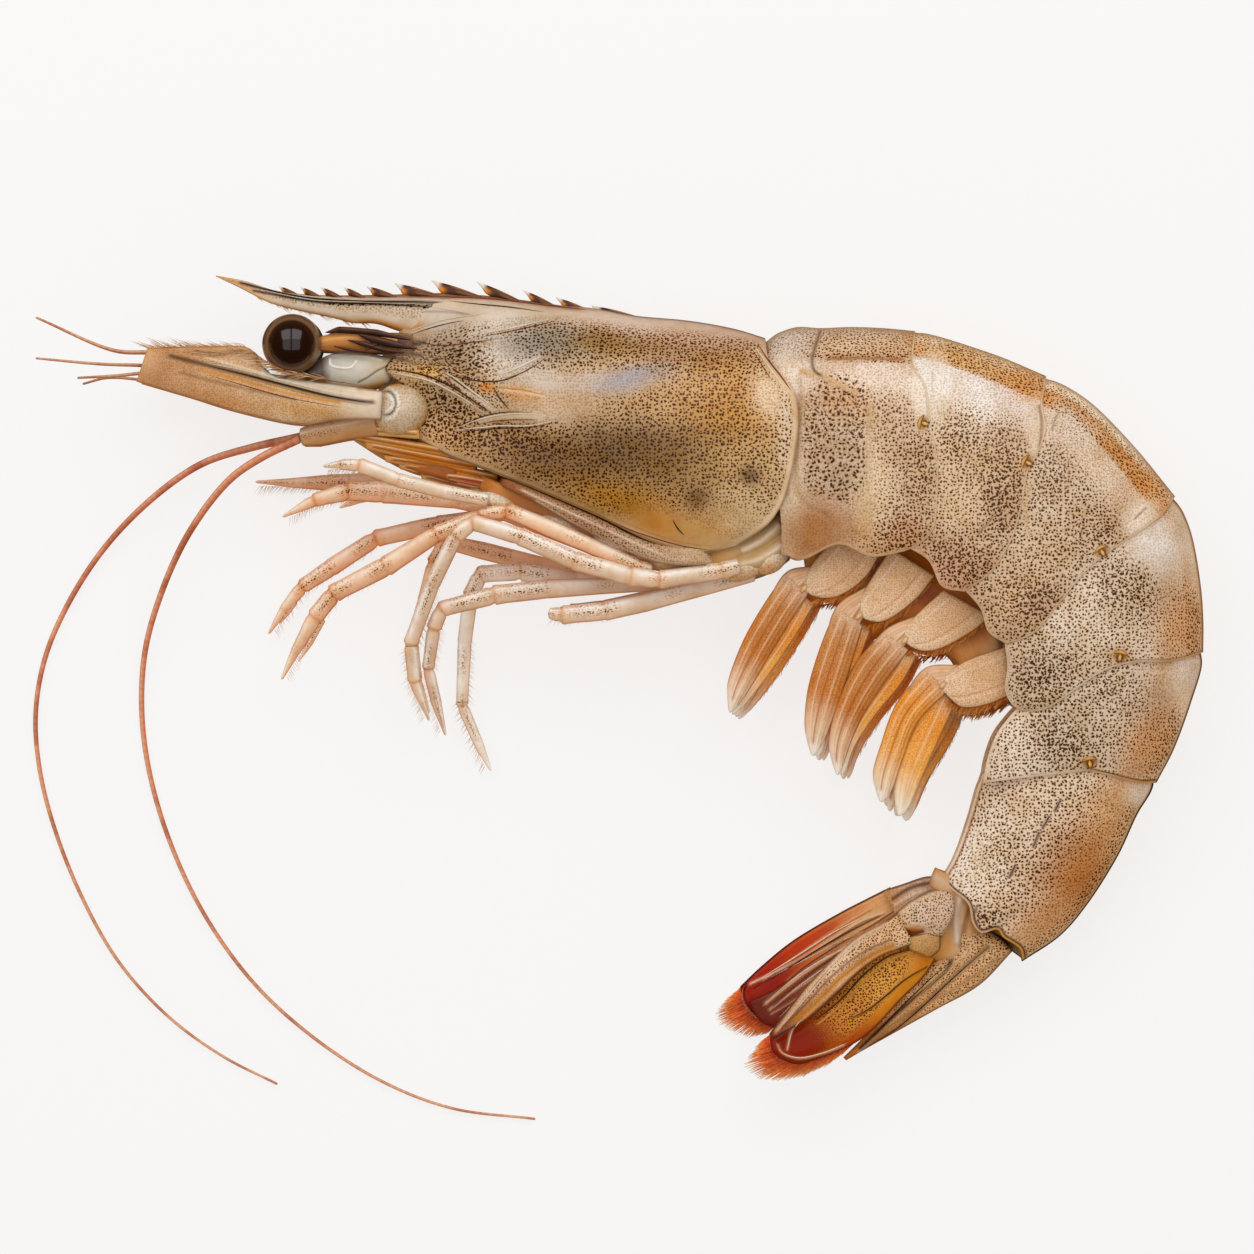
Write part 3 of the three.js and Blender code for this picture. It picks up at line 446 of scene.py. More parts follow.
# Keels and grooves of the carapace: line, height, width.
ANTENNAL_KEEL = at("386,371 412,376 438,384 470,400 498,417")
ANTENNAL_TURN = at("498,417 474,421 452,430")
HEPATIC_LENS = at("452,431 488,422 520,418 562,421")
ORBITAL_KEEL = at("438,370 462,379 488,383 510,378 530,362 546,354")
GASTRIC_KEEL = at("420,333 450,340 478,339 510,332 558,322")
ROSTRAL_KEEL = at("404,299 450,301 500,306 545,313 600,311 650,317")
HEPATIC_GROOVE = at("494,388 500,399 509,411")
PTERY_KEEL = at("500,392 525,396 546,400")
CHEEK_FOLD = at("548,402 600,396 650,382 700,372")
REAR_GROOVE = at("757,345 768,366 780,384 788,412 788,440 783,478 768,512 742,534")
LOWER_RIM = at("450,452 508,474 560,496 620,523 670,543 712,549")
CARAPACE_FORMS = [
    (ANTENNAL_KEEL, 0.16, 0.22), (ANTENNAL_TURN, 0.1, 0.2), (HEPATIC_LENS, 0.1, 0.5),
    (ORBITAL_KEEL, 0.12, 0.24), (GASTRIC_KEEL, 0.1, 0.3), (ROSTRAL_KEEL, 0.1, 0.4),
    (HEPATIC_GROOVE, -0.14, 0.3), (PTERY_KEEL, 0.08, 0.5), (CHEEK_FOLD, 0.2, 1.4),
    (REAR_GROOVE, -0.1, 0.5), (LOWER_RIM, -0.1, 0.3),
]


def carapace_relief(flat):
    return sum(rise * keel(flat, line, wide) for line, rise, wide in CARAPACE_FORMS)


# Colours of the carapace, from the front back: centre, two radii, turn, colour, share.
HORN = rgb(206, 172, 132)
CARAPACE_POOLS = [
    ("470,320", (9.0, 2.4), 0, rgb(218, 204, 190), 0.9),
    ("414,326", (1.5, 0.9), -20, rgb(196, 132, 60), 0.9),
    ("450,352", (5.5, 2.6), 0, rgb(178, 158, 136), 0.9),
    ("503,350", (3.2, 2.4), 0, rgb(242, 232, 222), 0.9),
    ("548,343", (6.0, 2.2), 4, rgb(150, 144, 136), 0.95),
    ("608,342", (3.8, 1.5), 0, rgb(158, 124, 62), 0.9),
    ("690,352", (9.0, 1.9), -6, rgb(160, 124, 88), 0.75),
    ("690,333", (11.0, 1.5), -6, rgb(204, 170, 150), 0.9),
    ("640,322", (8.0, 1.2), -6, rgb(216, 194, 176), 0.9),
    ("455,402", (5.2, 3.4), -30, rgb(186, 160, 130), 0.9),
    ("490,441", (8.5, 2.0), -10, rgb(208, 170, 128), 0.9),
    ("560,465", (8.0, 3.2), -14, rgb(140, 106, 66), 0.95),
    # Painted highlight: this pale grey pool starts the streak of wet sheen along the upper side.
    ("530,384", (4.5, 2.0), 10, rgb(202, 192, 178), 0.8),
    ("524,396", (2.6, 0.9), -8, rgb(222, 160, 92), 0.8),
    ("488,389", (0.9, 0.6), 0, rgb(216, 138, 44), 0.9),
    ("426,374", (1.8, 0.9), 0, rgb(224, 180, 108), 0.8),
    # Painted highlight: the pale streak of wet sheen along the upper side.
    ("588,385", (4.8, 1.3), 4, rgb(210, 192, 178), 0.9),
    # Painted sheen: the purple-grey reflection at the rear end of that streak.
    ("638,380", (4.2, 1.4), 12, rgb(154, 154, 168), 0.95),
    ("560,415", (6.0, 1.6), 0, rgb(214, 188, 160), 0.7),
    ("680,404", (5.5, 3.5), 0, rgb(212, 176, 132), 0.8),
    ("732,414", (5.0, 5.0), 0, rgb(206, 152, 78), 0.9),
    ("640,452", (8.0, 3.1), -4, rgb(120, 90, 52), 0.95),
    ("690,470", (5.0, 4.0), 0, rgb(150, 114, 64), 0.7),
    ("622,502", (6.0, 2.0), -12, rgb(172, 122, 46), 0.95),
    ("664,527", (2.8, 1.2), -14, rgb(190, 116, 14), 0.9),
    ("700,532", (4.5, 1.6), -6, rgb(192, 146, 88), 0.9),
    ("756,500", (3.6, 4.6), 20, rgb(208, 182, 142), 0.9),
    ("736,462", (4.0, 3.0), 0, rgb(196, 160, 108), 0.8),
    ("766,394", (1.8, 3.4), 14, rgb(232, 208, 180), 0.8),
    ("786,440", (0.9, 5.0), 0, rgb(226, 204, 178), 0.8),
    ("749,477", (1.1, 1.0), 0, rgb(110, 84, 50), 0.8),
    ("696,499", (1.3, 1.1), 0, rgb(112, 78, 34), 0.8),
]
# Where the pigment cells are small, large or missing: centre, two radii, turn, change.
# The fewer cells at 530,384, 590,386 and 640,382 go with the painted highlight streak there.
FLECK_POOLS = [
    ("690,350", (10.0, 2.6), -6, 0.14), ("560,465", (9.0, 3.6), -14, 0.1),
    ("590,386", (6.0, 1.4), 4, -0.16), ("640,382", (4.5, 1.6), 12, -0.08),
    ("640,318", (14.0, 1.6), -6, -0.32), ("664,527", (4.0, 1.5), -14, -0.3),
    ("740,430", (5.5, 5.0), 0, 0.06), ("462,312", (8.0, 1.4), 0, -0.3),
    ("424,324", (3.4, 1.2), 20, -0.3), ("690,540", (8.0, 1.2), -10, -0.2),
    ("530,384", (3.5, 1.6), 0, -0.14), ("608,342", (5.0, 2.0), 0, 0.1),
    ("556,413", (6.0, 1.4), 0, -0.18), ("560,340", (5.0, 2.4), 0, 0.12),
    ("503,350", (2.6, 1.8), 0, -0.14), ("766,396", (1.6, 3.0), 14, -0.18),
    ("624,497", (5.0, 1.6), -12, -0.08), ("732,522", (4.0, 2.2), -10, -0.12),
    ("640,420", (7.0, 2.4), 0, 0.06),
]
BLOTCH_POOLS = [
    ("455,400", (4.8, 3.6), -30, 0.3), ("500,440", (9.0, 1.8), -10, 0.27),
    ("462,358", (4.5, 2.2), 0, 0.24), ("720,420", (4.5, 4.5), 0, 0.12),
]
# Fine lines of the carapace: line, half width, colour, share. The pigment cells stop at them.
CARAPACE_LINES = [
    (at("404,297 440,296 490,298 530,303 590,311"), 0.26, (124, 53, 22), 0.7),
    (at("404,308 430,310 455,313 478,318"), 0.14, (58, 27, 14), 0.4),
    (at("383,374 405,377 430,383 452,394 470,405 488,417"), 0.24, (206, 186, 160), 0.6),
    (at("443,371 462,389 480,401 500,415"), 0.2, (216, 200, 180), 0.7),
    (at("500,377 515,371 530,364 544,357"), 0.26, (198, 190, 178), 0.7),
    (at("498,391 515,393 534,396 548,399"), 0.14, (232, 208, 170), 0.7),
    (at("476,424 500,419 525,418 548,421"), 0.36, (212, 194, 168), 0.8),
    (at("478,335 510,329 536,323 558,318"), 0.2, (206, 196, 180), 0.5),
    (at("405,334 440,323 470,318 492,315"), 0.2, (218, 206, 188), 0.6),
    (at("398,340 412,343 428,341"), 0.3, (70, 46, 38), 0.85),
    (at("396,350 410,353 424,356"), 0.24, (82, 54, 44), 0.8),
    (at("398,358 408,361 418,366"), 0.16, (96, 60, 40), 0.7),
    (at("754,347 765,364 777,381 787,397"), 0.2, (232, 208, 172), 0.6),
    (at("640,362 690,363 730,366"), 0.12, (168, 104, 52), 0.5),
]


def pooled(flat, base, pools):
    """The base value with each soft patch's change added."""
    return base + sum(share * pool(flat, centre, size, turn) for centre, size, turn, share in pools)


def carapace_paint(flat, s, t):
    tint = plain(HORN, s)
    for centre, size, turn, colour, share in CARAPACE_POOLS:
        tint = lay(tint, colour, share * pool(flat, centre, size, turn))
    fleck = pooled(flat, 0.27, FLECK_POOLS)
    blotch = pooled(flat, 0.0, BLOTCH_POOLS)
    for line, wide, colour, share in CARAPACE_LINES:
        mark = share * keel(flat, line, wide, 0.08)
        tint = lay(tint, rgb(*colour), mark)
        fleck, blotch = fleck * (1 - mark), blotch * (1 - mark)
    rim, _ = away(flat, spline(CARAPACE_REAR, 60))
    tint = lay(tint, rgb(216, 190, 158), 0.6 * ease(0.9, 0.4, rim) * ease(0.2, 0.5, t))
    tint = lay(tint, rgb(140, 98, 56), 0.5 * ease(0.22, 0.1, rim) * ease(0.2, 0.5, t))
    fleck = fleck * ease(0.3, 0.8, rim)
    edge, _ = away(flat, spline([CARAPACE_FRONT[-1], *CARAPACE_EDGE, CARAPACE_REAR[-1]], 60))
    tint = lay(tint, rgb(96, 60, 26), 0.8 * bell((edge - 0.1) / 0.14) * ease(1.0, 3.0, rim))
    fleck, blotch = fleck * ease(0.2, 0.9, edge), blotch * ease(0.15, 0.6, edge)
    front, _ = away(flat, spline(CARAPACE_FRONT, 60))
    tint = lay(tint, rgb(60, 42, 28), 0.8 * bell((front - 0.1) / 0.13) * ease(0.25, 0.3, t))
    crest = bell(t / 0.006) * ease(-4, 0, flat[..., 0])
    tint = lay(tint, rgb(112, 44, 20), 0.9 * crest)
    fleck = fleck * ease(0.01, 0.05, t)
    hidden = ease(1.0, 0.995, t)
    return {"tint": lay(tint, rgb(186, 140, 92), 1 - hidden),
            "fleck": np.clip(fleck - 0.02, 0.02, 0.28) * hidden,
            "blotch": np.clip(blotch, 0, 0.27) * hidden}


shell_piece("carapace_shell", "carapace", (CARAPACE_FRONT, CARAPACE_REAR, CARAPACE_BACK, CARAPACE_EDGE),
            lambda s: MIDPLANE + 0 * s, carapace_half, carapace_relief, carapace_paint, 310, 140, 0.96)

# ---- Rostrum ----------------------------------------------------------------------------------
# The stiff blade that the carapace runs out into between the eyes: thin and springy, with two
# dark ridges along it, a row of pores under them and a fringe of hairs along its lower edge.
ROSTRUM_TOP = at("216,275.5 245,281 278,291 320,295 366,295 410,294 445,293 490,296 530,301 565,306 606,312")
ROSTRUM_KEEL = at("216,276.5 240,288 270,303 300,311 333,318 353,323 376,324 407,333 440,331 500,326 "
                  "560,322 606,320")
ROSTRUM_HALF_THICKNESS = (0.16, 0.85)
ROSTRUM_RIDGES = [
    (at("236,280 300,296 352,300 430,301 520,310"), 0.3, 0.16),
    (at("250,289 320,301 380,303 440,307 480,315"), 0.12, 0.14),
]


def there_and_back(count):
    """Across one face of a thin blade and back over the other: the share, and 1 or -1 for the
    face."""
    across = np.concatenate([np.linspace(0, 1, count), np.linspace(1, 0, count)[1:-1]])
    return across, np.concatenate([np.ones(count), -np.ones(count - 2)])


u = np.linspace(0, 1, 260)
top, keel_line = spline(ROSTRUM_TOP, 260), spline(ROSTRUM_KEEL, 260)
v, side = there_and_back(26)
flat = keel_line[:, None] + (top - keel_line)[:, None] * v[None, :, None]
thick = ROSTRUM_HALF_THICKNESS[0] + (ROSTRUM_HALF_THICKNESS[1] - ROSTRUM_HALF_THICKNESS[0]) * u ** 0.7
tall = thick[:, None] * np.sqrt(np.clip(1 - (2 * v - 1) ** 4, 0, 1))
for line, rise, wide in ROSTRUM_RIDGES:
    tall = tall + rise * keel(flat, line, wide, 0.04) * ease(0, 0.1, tall)
points = np.concatenate([flat, (MIDPLANE + side * tall)[..., None]], axis=-1)
tint = plain(rgb(214, 196, 174), tall)
tint = lay(tint, rgb(222, 160, 96), 0.8 * ease(0.22, 0.0, u)[:, None] * np.ones_like(v))
tint = lay(tint, rgb(120, 74, 42), 0.85 * ease(0.62, 0.9, v) * ease(0.03, 0.16, u)[:, None])
tint = lay(tint, rgb(224, 168, 92), 0.8 * ease(0.22, 0.02, v) * ease(0.42, 0.3, np.abs(u - 0.42))[:, None])
for line, shift, share, dark in [
        (ROSTRUM_RIDGES[0][0], -0.14, 0.85, rgb(58, 34, 22)),
        (ROSTRUM_RIDGES[1][0], -0.12, 0.8, rgb(70, 48, 34)),
        (ROSTRUM_RIDGES[0][0], 0.1, 0.6, rgb(232, 214, 192))]:
    tint = lay(tint, dark, share * keel(flat - np.array([0, shift]), line, 0.15, 0.02))
tint = lay(tint, rgb(198, 124, 38), 0.95 * pool(flat, "386,327", (2.8, 0.55), -12))
row, _ = away(flat, spline(at("330,304 380,303.5 420,306 450,311 474,318"), 30))
fleck = 0.16 * ease(0.3, 0.5, v) * ease(0.8, 0.65, v) + 0 * u[:, None] + 0.34 * bell(row / 0.16)
skin("rostrum_blade", points, ["carapace"], SHELL, tint=tint, fleck=np.clip(fleck, 0, 0.36))

# ---- Rostrum teeth ----------------------------------------------------------------------------
# Hooked teeth along the crest, grown from the shell: amber at the root, dark brown along the
# back and clear as horn at the tip, each leaning forward over the one before. A paler band on
# the upper edge of each is a painted highlight.
TOOTH_TIPS = at("278,286 300,287 320,287 343,287 366,286 394,283 431,280 476,281 522,289.5 555,297 "
                "591,305.5")
TOOTH_ENDS = at("300,295 321,296 343,297 366,297 397,296 440,295 484,297 528,304 562,309 594,312 640,317")


def mix_lines(first, second, share):
    """The line a share of the way from one line of points to another."""
    return first + (second - first) * share


for i, (tip, end) in enumerate(zip(np.array(TOOTH_TIPS), np.array(TOOTH_ENDS))):
    reach = np.linalg.norm(end - tip)
    notch = tip + np.array([0.26, -0.26]) * min(reach, 4.2)
    s = np.linspace(0, 1, 34)[:, None]
    back = spline([tip, mix_lines(tip, end, 0.45) + np.array([0.02, 0.12]), end], 34)
    belly = spline([tip, mix_lines(tip, notch, 0.5) + np.array([0.0, -0.08]), notch - [0, 0.25],
                    end - [0, 0.35]], 34)
    v, side = there_and_back(12)
    flat = belly[:, None] + (back - belly)[:, None] * v[None, :, None]
    tall = (0.08 + 0.36 * ease(0, 0.5, s)) * np.sqrt(np.clip(1 - (2 * v - 1) ** 4, 0, 1))
    points = np.concatenate([flat, (MIDPLANE + side * tall)[..., None]], axis=-1)
    share = s * np.ones_like(v)
    tint = plain(rgb(84, 46, 24), share)
    tint = lay(tint, rgb(150, 104, 70), 0.7 * bell((v - 0.55) / 0.16) * ease(0.4, 0.6, share))
    tint = lay(tint, rgb(50, 28, 18), 0.9 * bell((v - 0.3) / 0.12) * ease(0.2, 0.4, share))
    tint = lay(tint, rgb(232, 150, 50), 0.9 * bell((share - 0.25) / 0.07) * ease(0.75, 0.4, v))
    tint = lay(tint, rgb(232, 220, 206), ease(0.24, 0.14, share))
    # Painted highlight: the paler band along the tooth's upper edge.
    tint = lay(tint, rgb(198, 150, 104), 0.8 * ease(0.3, 0.5, share) * ease(0.8, 0.95, v))
    skin(f"rostrum_tooth_{i + 1}", points, ["carapace"], SHELL, tint=tint)

# ---- Abdomen ----------------------------------------------------------------------------------
# Six jointed rings of thin shell: each back rim is rolled and lies over the next ring, and the
# side flaps hang free. The muscle shows through as orange along the back and white under it;
# that pale stripe under the orange band is also a painted highlight.
SEAM_HALF_WIDTH = (8.7, 8.9, 8.9, 8.6, 7.6, 6.2, 4.3)
UNDERLAP = 0.9
# Lines and colours of each ring. 'pale' is the white flesh under the orange band, also painted paler as a
# painted highlight.
SEGMENTS = [
    {
        "start": at("757,341 761,358 772,374 783,392 787,425 782,470 777,500 780,530 780,560"),
        "rim": at("915,331 912,367 923,385 928,425 935,460 935,495 931,530 917,545 902,552"),
        "back": at("780,332 797,327 820,328 851,327 882,328"),
        "edge": at("802,560 838,545 870,557"),
        "dorsal": rgb(206, 178, 154), "band": rgb(216, 184, 152), "line": 0.145, "pale": rgb(232, 214, 198),
        "pale_end": 0.36, "mid": rgb(210, 180, 152), "low": rgb(190, 142, 94),
    },
    {
        "rim": at("1046,376 1040,406 1043,430 1034,456 1024,475 1020,500 1010,537 988,573 962,592"),
        "back": at("922,332.5 944,338 974,347.5 1004,358"),
        "edge": at("926,561 940,587"),
        "dorsal": rgb(228, 198, 164), "band": rgb(214, 162, 104), "line": 0.11, "pale": rgb(238, 230, 226),
        "pale_end": 0.33, "mid": rgb(204, 170, 134), "low": rgb(176, 128, 84),
    },
    {
        "rim": at("1175,496 1159,516 1135,533 1108,551 1084,570 1055,605 1030,634 1004,644"),
        "back": at("1056,381 1089,401 1134,446"),
        "edge": at("978,609 986,632"),
        "dorsal": rgb(250, 230, 204), "band": rgb(212, 152, 88), "line": 0.12, "pale": rgb(228, 204, 182),
        "pale_end": 0.34, "mid": rgb(202, 176, 150), "low": rgb(180, 142, 98),
    },
    {
        "rim": at("1204,652 1171,661 1133,662 1110,667 1095,674 1072,690 1043,709 1021,711"),
        "back": at("1179,504 1191,531 1201,583 1204,620"),
        "edge": at("1005,665 1003,690 1010,704"),
        "dorsal": rgb(230, 202, 168), "band": rgb(214, 172, 132), "line": 0.1, "pale": rgb(218, 194, 172),
        "pale_end": 0.36, "mid": rgb(220, 200, 180), "low": rgb(194, 166, 136),
    },
    {
        "rim": at("1158,783 1141,783 1102,774 1087,771 1056,774 1003,780 982,783"),
        "back": at("1203,664 1193,700 1175,750"),
        "edge": at("1008,716 995,734 986,759"),
        "dorsal": rgb(232, 204, 172), "band": rgb(216, 174, 132), "line": 0.1, "pale": rgb(212, 174, 136),
        "pale_end": 0.36, "mid": rgb(196, 174, 152), "low": rgb(212, 190, 164),
    },
    {
        "rim": at("1024,963 1021,950 1003,937 998,930 981,933 973,924 968,904 953,891 942,880"),
        "back": at("1155,789 1140,813 1120,856 1088,907 1062,937"),
        "edge": at("968,821 954,860"),
        "dorsal": rgb(222, 186, 146), "band": rgb(214, 166, 116), "line": 0.1, "pale": rgb(208, 160, 112),
        "pale_end": 0.4, "mid": rgb(216, 184, 152), "low": rgb(210, 186, 162),
    },
]
# Soft patches of colour per ring: centre, two radii, turn, colour, share, change of small and
# of large pigment cells.
PATCHES = {
    1: [("830,432", (3.6, 5.0), 0, rgb(186, 158, 128), 0.75, -0.1, 0.34),
        ("838,478", (3.6, 3.0), 0, rgb(184, 160, 132), 0.7, -0.1, 0.26),
        ("845,398", (2.8, 2.2), -20, rgb(206, 150, 86), 0.8, 0.0, 0.26),
        ("812,532", (3.4, 2.9), 20, rgb(156, 84, 2), 1.0, -0.4, -0.4),
        ("790,470", (1.1, 8.0), 0, rgb(206, 184, 148), 0.9, -0.3, -0.3),
        ("790,348", (2.8, 2.2), 0, rgb(208, 194, 184), 0.9, -0.06, 0.0),
        ("862,359", (4.6, 0.5), 0, rgb(180, 130, 84), 0.8, 0.1, 0.0),
        # Painted highlight over the pale flesh, high on the side under the band.
        ("860,381", (3.6, 1.5), 0, rgb(234, 214, 198), 0.9, -0.03, 0.0),
        ("788,374", (1.9, 1.5), -20, rgb(238, 222, 206), 0.9, -0.3, 0.0),
        ("862,520", (1.1, 3.0), 0, rgb(204, 160, 100), 0.8, -0.1, -0.1),
        ("919,395", (1.0, 3.2), 4, rgb(240, 228, 212), 0.95, -0.3, 0.0),
        ("918,470", (1.8, 5.0), 4, rgb(192, 152, 106), 0.75, 0.0, 0.14),
        ("896,535", (2.6, 2.2), 0, rgb(190, 128, 68), 0.8, 0.05, 0.16),
        ("876,484", (1.6, 4.4), 0, rgb(226, 200, 164), 0.9, -0.06, -0.1),
        ("912,340", (1.6, 1.5), 0, rgb(196, 150, 98), 0.85, -0.05, 0.0)],
    # Painted highlight over the pale flesh under the band: the pale patches at 933,388 and 972,402.
    2: [("933,388", (1.6, 3.4), 0, rgb(240, 232, 222), 0.9, -0.25, 0.0),
        ("960,432", (2.8, 2.2), 10, rgb(202, 176, 148), 0.7, 0.0, 0.2),
        ("1006,452", (2.6, 3.6), -20, rgb(184, 142, 98), 0.8, 0.05, 0.16),
        ("956,468", (3.2, 3.0), 0, rgb(210, 178, 136), 0.7, -0.02, 0.06),
        ("958,512", (2.4, 2.4), 0, rgb(214, 182, 138), 0.85, -0.06, -0.06),
        ("972,402", (3.0, 2.0), -20, rgb(246, 240, 238), 0.9, -0.03, 0.0),
        ("1000,508", (2.6, 4.0), -14, rgb(180, 138, 90), 0.8, 0.04, 0.2),
        ("955,565", (4.2, 2.6), -20, rgb(176, 112, 44), 0.9, 0.06, 0.2),
        ("940,580", (2.4, 1.6), -30, rgb(184, 110, 58), 0.8, 0.0, 0.0),
        ("1028,385", (2.4, 2.0), -30, rgb(216, 146, 74), 0.75, 0.03, 0.0),
        ("1034,430", (1.0, 3.2), 0, rgb(214, 190, 160), 0.9, -0.3, -0.2),
        ("965,358", (3.0, 1.2), -20, rgb(222, 176, 118), 0.8, 0.05, 0.0)],
    # Painted highlight over the pale flesh under the band: the first two patches of this ring.
    3: [("1062,423", (1.6, 2.0), 0, rgb(220, 202, 184), 0.9, 0.0, 0.0),
        ("1074,434", (2.2, 1.6), 0, rgb(230, 214, 198), 0.7, 0.02, 0.0),
        ("1050,470", (2.6, 3.6), 0, rgb(200, 174, 150), 0.8, 0.0, 0.2),
        ("1096,530", (3.4, 2.6), 30, rgb(184, 144, 104), 0.8, 0.06, 0.2),
        ("1042,548", (3.0, 2.6), 0, rgb(202, 168, 120), 0.8, 0.0, 0.0),
        ("1015,594", (4.0, 2.8), 40, rgb(204, 158, 104), 0.85, 0.02, 0.12),
        ("1040,606", (2.4, 2.0), 40, rgb(170, 116, 66), 0.8, 0.05, 0.2),
        ("990,630", (2.0, 1.2), -10, rgb(176, 122, 68), 0.8, 0.0, 0.0),
        ("1150,486", (2.6, 1.8), -50, rgb(218, 150, 70), 0.8, 0.05, 0.0),
        # Painted highlight: the pale patch just under the band at 1138,516.
        ("1138,516", (2.2, 1.3), 40, rgb(240, 226, 208), 0.85, -0.3, 0.0)],
    # Painted highlight over the pale flesh under the band: the first patch of this ring.
    4: [("1150,548", (2.4, 2.6), -30, rgb(238, 230, 222), 0.95, -0.3, 0.0),
        ("1183,540", (1.4, 5.0), 12, rgb(226, 204, 182), 0.8, -0.2, 0.0),
        ("1197,575", (1.1, 4.4), 8, rgb(248, 220, 188), 0.8, -0.05, 0.0),
        ("1180,625", (3.2, 4.4), 0, rgb(214, 154, 94), 0.85, 0.06, 0.0),
        ("1115,575", (2.6, 2.6), 0, rgb(204, 184, 164), 0.8, 0.0, 0.16),
        ("1085,620", (4.0, 4.0), 0, rgb(228, 208, 188), 0.7, -0.02, 0.04),
        ("1040,672", (3.6, 2.4), 20, rgb(184, 156, 130), 0.8, 0.05, 0.22),
        ("1050,700", (4.0, 1.2), 10, rgb(182, 150, 100), 0.7, 0.04, 0.1),
        ("1116,655", (1.8, 1.2), 0, rgb(186, 136, 78), 0.8, 0.0, 0.1),
        ("1138,596", (3.0, 3.6), 0, rgb(198, 170, 142), 0.7, 0.02, 0.22)],
    5: [("1150,735", (3.6, 4.0), 20, rgb(212, 150, 90), 0.85, 0.06, 0.0),
        ("1184,680", (1.6, 2.6), 0, rgb(228, 214, 202), 0.9, -0.25, 0.0),
        # Painted light: this pale patch lifts the shade where the flank turns steeply away near the back.
        ("1187,708", (1.3, 3.4), 10, rgb(252, 222, 188), 0.8, -0.06, 0.0),
        ("1060,742", (4.0, 2.6), -40, rgb(176, 156, 134), 0.85, 0.08, 0.2),
        ("1130,700", (3.2, 3.0), 0, rgb(202, 178, 156), 0.7, 0.0, 0.16),
        ("1010,745", (2.8, 4.2), -10, rgb(248, 234, 222), 0.9, -0.02, 0.02),
        ("1086,765", (1.8, 1.3), 0, rgb(180, 134, 68), 0.8, 0.0, 0.0),
        ("1090,680", (3.0, 2.0), 0, rgb(206, 190, 172), 0.7, 0.0, 0.1)],
    6: [("1072,864", (3.4, 5.0), -30, rgb(188, 104, 24), 0.8, 0.02, 0.06),
        ("1002,850", (2.0, 3.4), -24, rgb(198, 156, 116), 0.7, 0.04, 0.08),
        # Painted light: this light patch lifts the shade on the steep part near the back.
        ("1098,822", (3.6, 3.4), -20, rgb(232, 186, 136), 0.8, 0.03, 0.1),
        ("1032,910", (3.8, 3.8), 0, rgb(224, 172, 122), 0.8, 0.02, 0.1),
        ("982,860", (3.0, 5.0), -24, rgb(246, 232, 220), 0.9, -0.05, 0.04),
        ("985,920", (2.0, 1.4), 0, rgb(170, 120, 66), 0.8, 0.04, 0.2),
        ("1142,793", (1.6, 1.4), -20, rgb(236, 216, 198), 0.9, -0.35, -0.3),
        ("966,868", (1.8, 3.4), -24, rgb(250, 240, 230), 0.9, -0.03, 0.0)],
}
# Raised folds (over 0) and creases (under 0) per ring: line, height, width, colour, share.
FOLDS = {
    1: [(at("796,371 824,380 858,397"), 0.3, 0.34, rgb(214, 176, 130), 0.9),
        (at("821,328 811,362 813,372 822,379"), -0.2, 0.22, rgb(104, 64, 34), 0.85),
        (at("868,400 866,470 868,540"), -0.14, 0.5, rgb(206, 176, 130), 0.4),
        (at("800,372 797,420 798,500 828,520 841,543"), -0.16, 0.35, rgb(176, 140, 100), 0.4),
        (at("822,361 860,360 905,361"), 0.06, 0.17, rgb(156, 98, 38), 0.75)],
    2: [(at("931,372 930,386 931,396"), -0.06, 0.14, rgb(170, 130, 92), 0.35),
        (at("992,514 984,526 974,536"), -0.1, 0.2, rgb(110, 70, 36), 0.55),
        (at("1036,405 1039,425 1036,450"), -0.12, 0.18, rgb(150, 100, 62), 0.75)],
    3: [(at("1057,412 1052,422 1049,432"), -0.06, 0.13, rgb(120, 76, 44), 0.6),
        (at("1144,508 1130,521"), -0.1, 0.14, rgb(168, 92, 56), 0.7),
        (at("1028,478 1022,510 1026,540"), 0.1, 0.4, rgb(206, 172, 124), 0.4)],
    4: [(at("1158,518 1136,532 1112,548"), 0.14, 0.2, rgb(236, 208, 178), 0.8)],
    5: [(at("1128,671 1165,670 1198,661"), -0.08, 0.2, rgb(224, 202, 180), 0.6)],
    6: [(at("1060,799 1053,812"), -0.14, 0.18, rgb(72, 26, 4), 1.0),
        (at("1049,815 1041,829"), -0.14, 0.18, rgb(72, 26, 4), 1.0),
        (at("1039,831 1032,848"), -0.14, 0.18, rgb(72, 26, 4), 1.0),
        (at("1015,865 1008,879"), -0.14, 0.18, rgb(72, 26, 4), 1.0),
        (at("978,904 974,916 978,926"), -0.1, 0.16, rgb(90, 40, 10), 0.8)],
}
# The rolled rim of each ring: width, colour and share of its margin, and the share of the dark
# line inside it above and below the hinge.
RIMS = [
    (0.12, rgb(222, 192, 150), 0.6, 0.3, 0.05), (0.12, rgb(222, 184, 136), 0.5, 0.3, 0.05),
    (0.12, rgb(220, 180, 130), 0.5, 0.3, 0.08), (0.14, rgb(206, 150, 84), 0.6, 0.6, 0.1),
    (0.18, rgb(200, 140, 70), 0.8, 0.85, 0.15), (0.2, rgb(206, 146, 70), 0.95, 1.0, 1.0),
]
# Colour and share of the keel along the back, and of the flap's edge.
KEELS = [(rgb(196, 172, 146), 0.3, 0.3), (rgb(196, 150, 104), 0.3, 0.4), (rgb(190, 140, 90), 0.4, 0.5),
         (rgb(168, 104, 58), 0.8, 0.6), (rgb(112, 66, 30), 0.95, 0.6), (rgb(66, 34, 20), 1.0, 1.0)]
# Where two rings meet halfway down the side they pivot: place and turn.
HINGES = [("921,425", 75), ("1024,464", 65), ("1098,552", 30), ("1117,656", -10), ("1088,762", 10)]


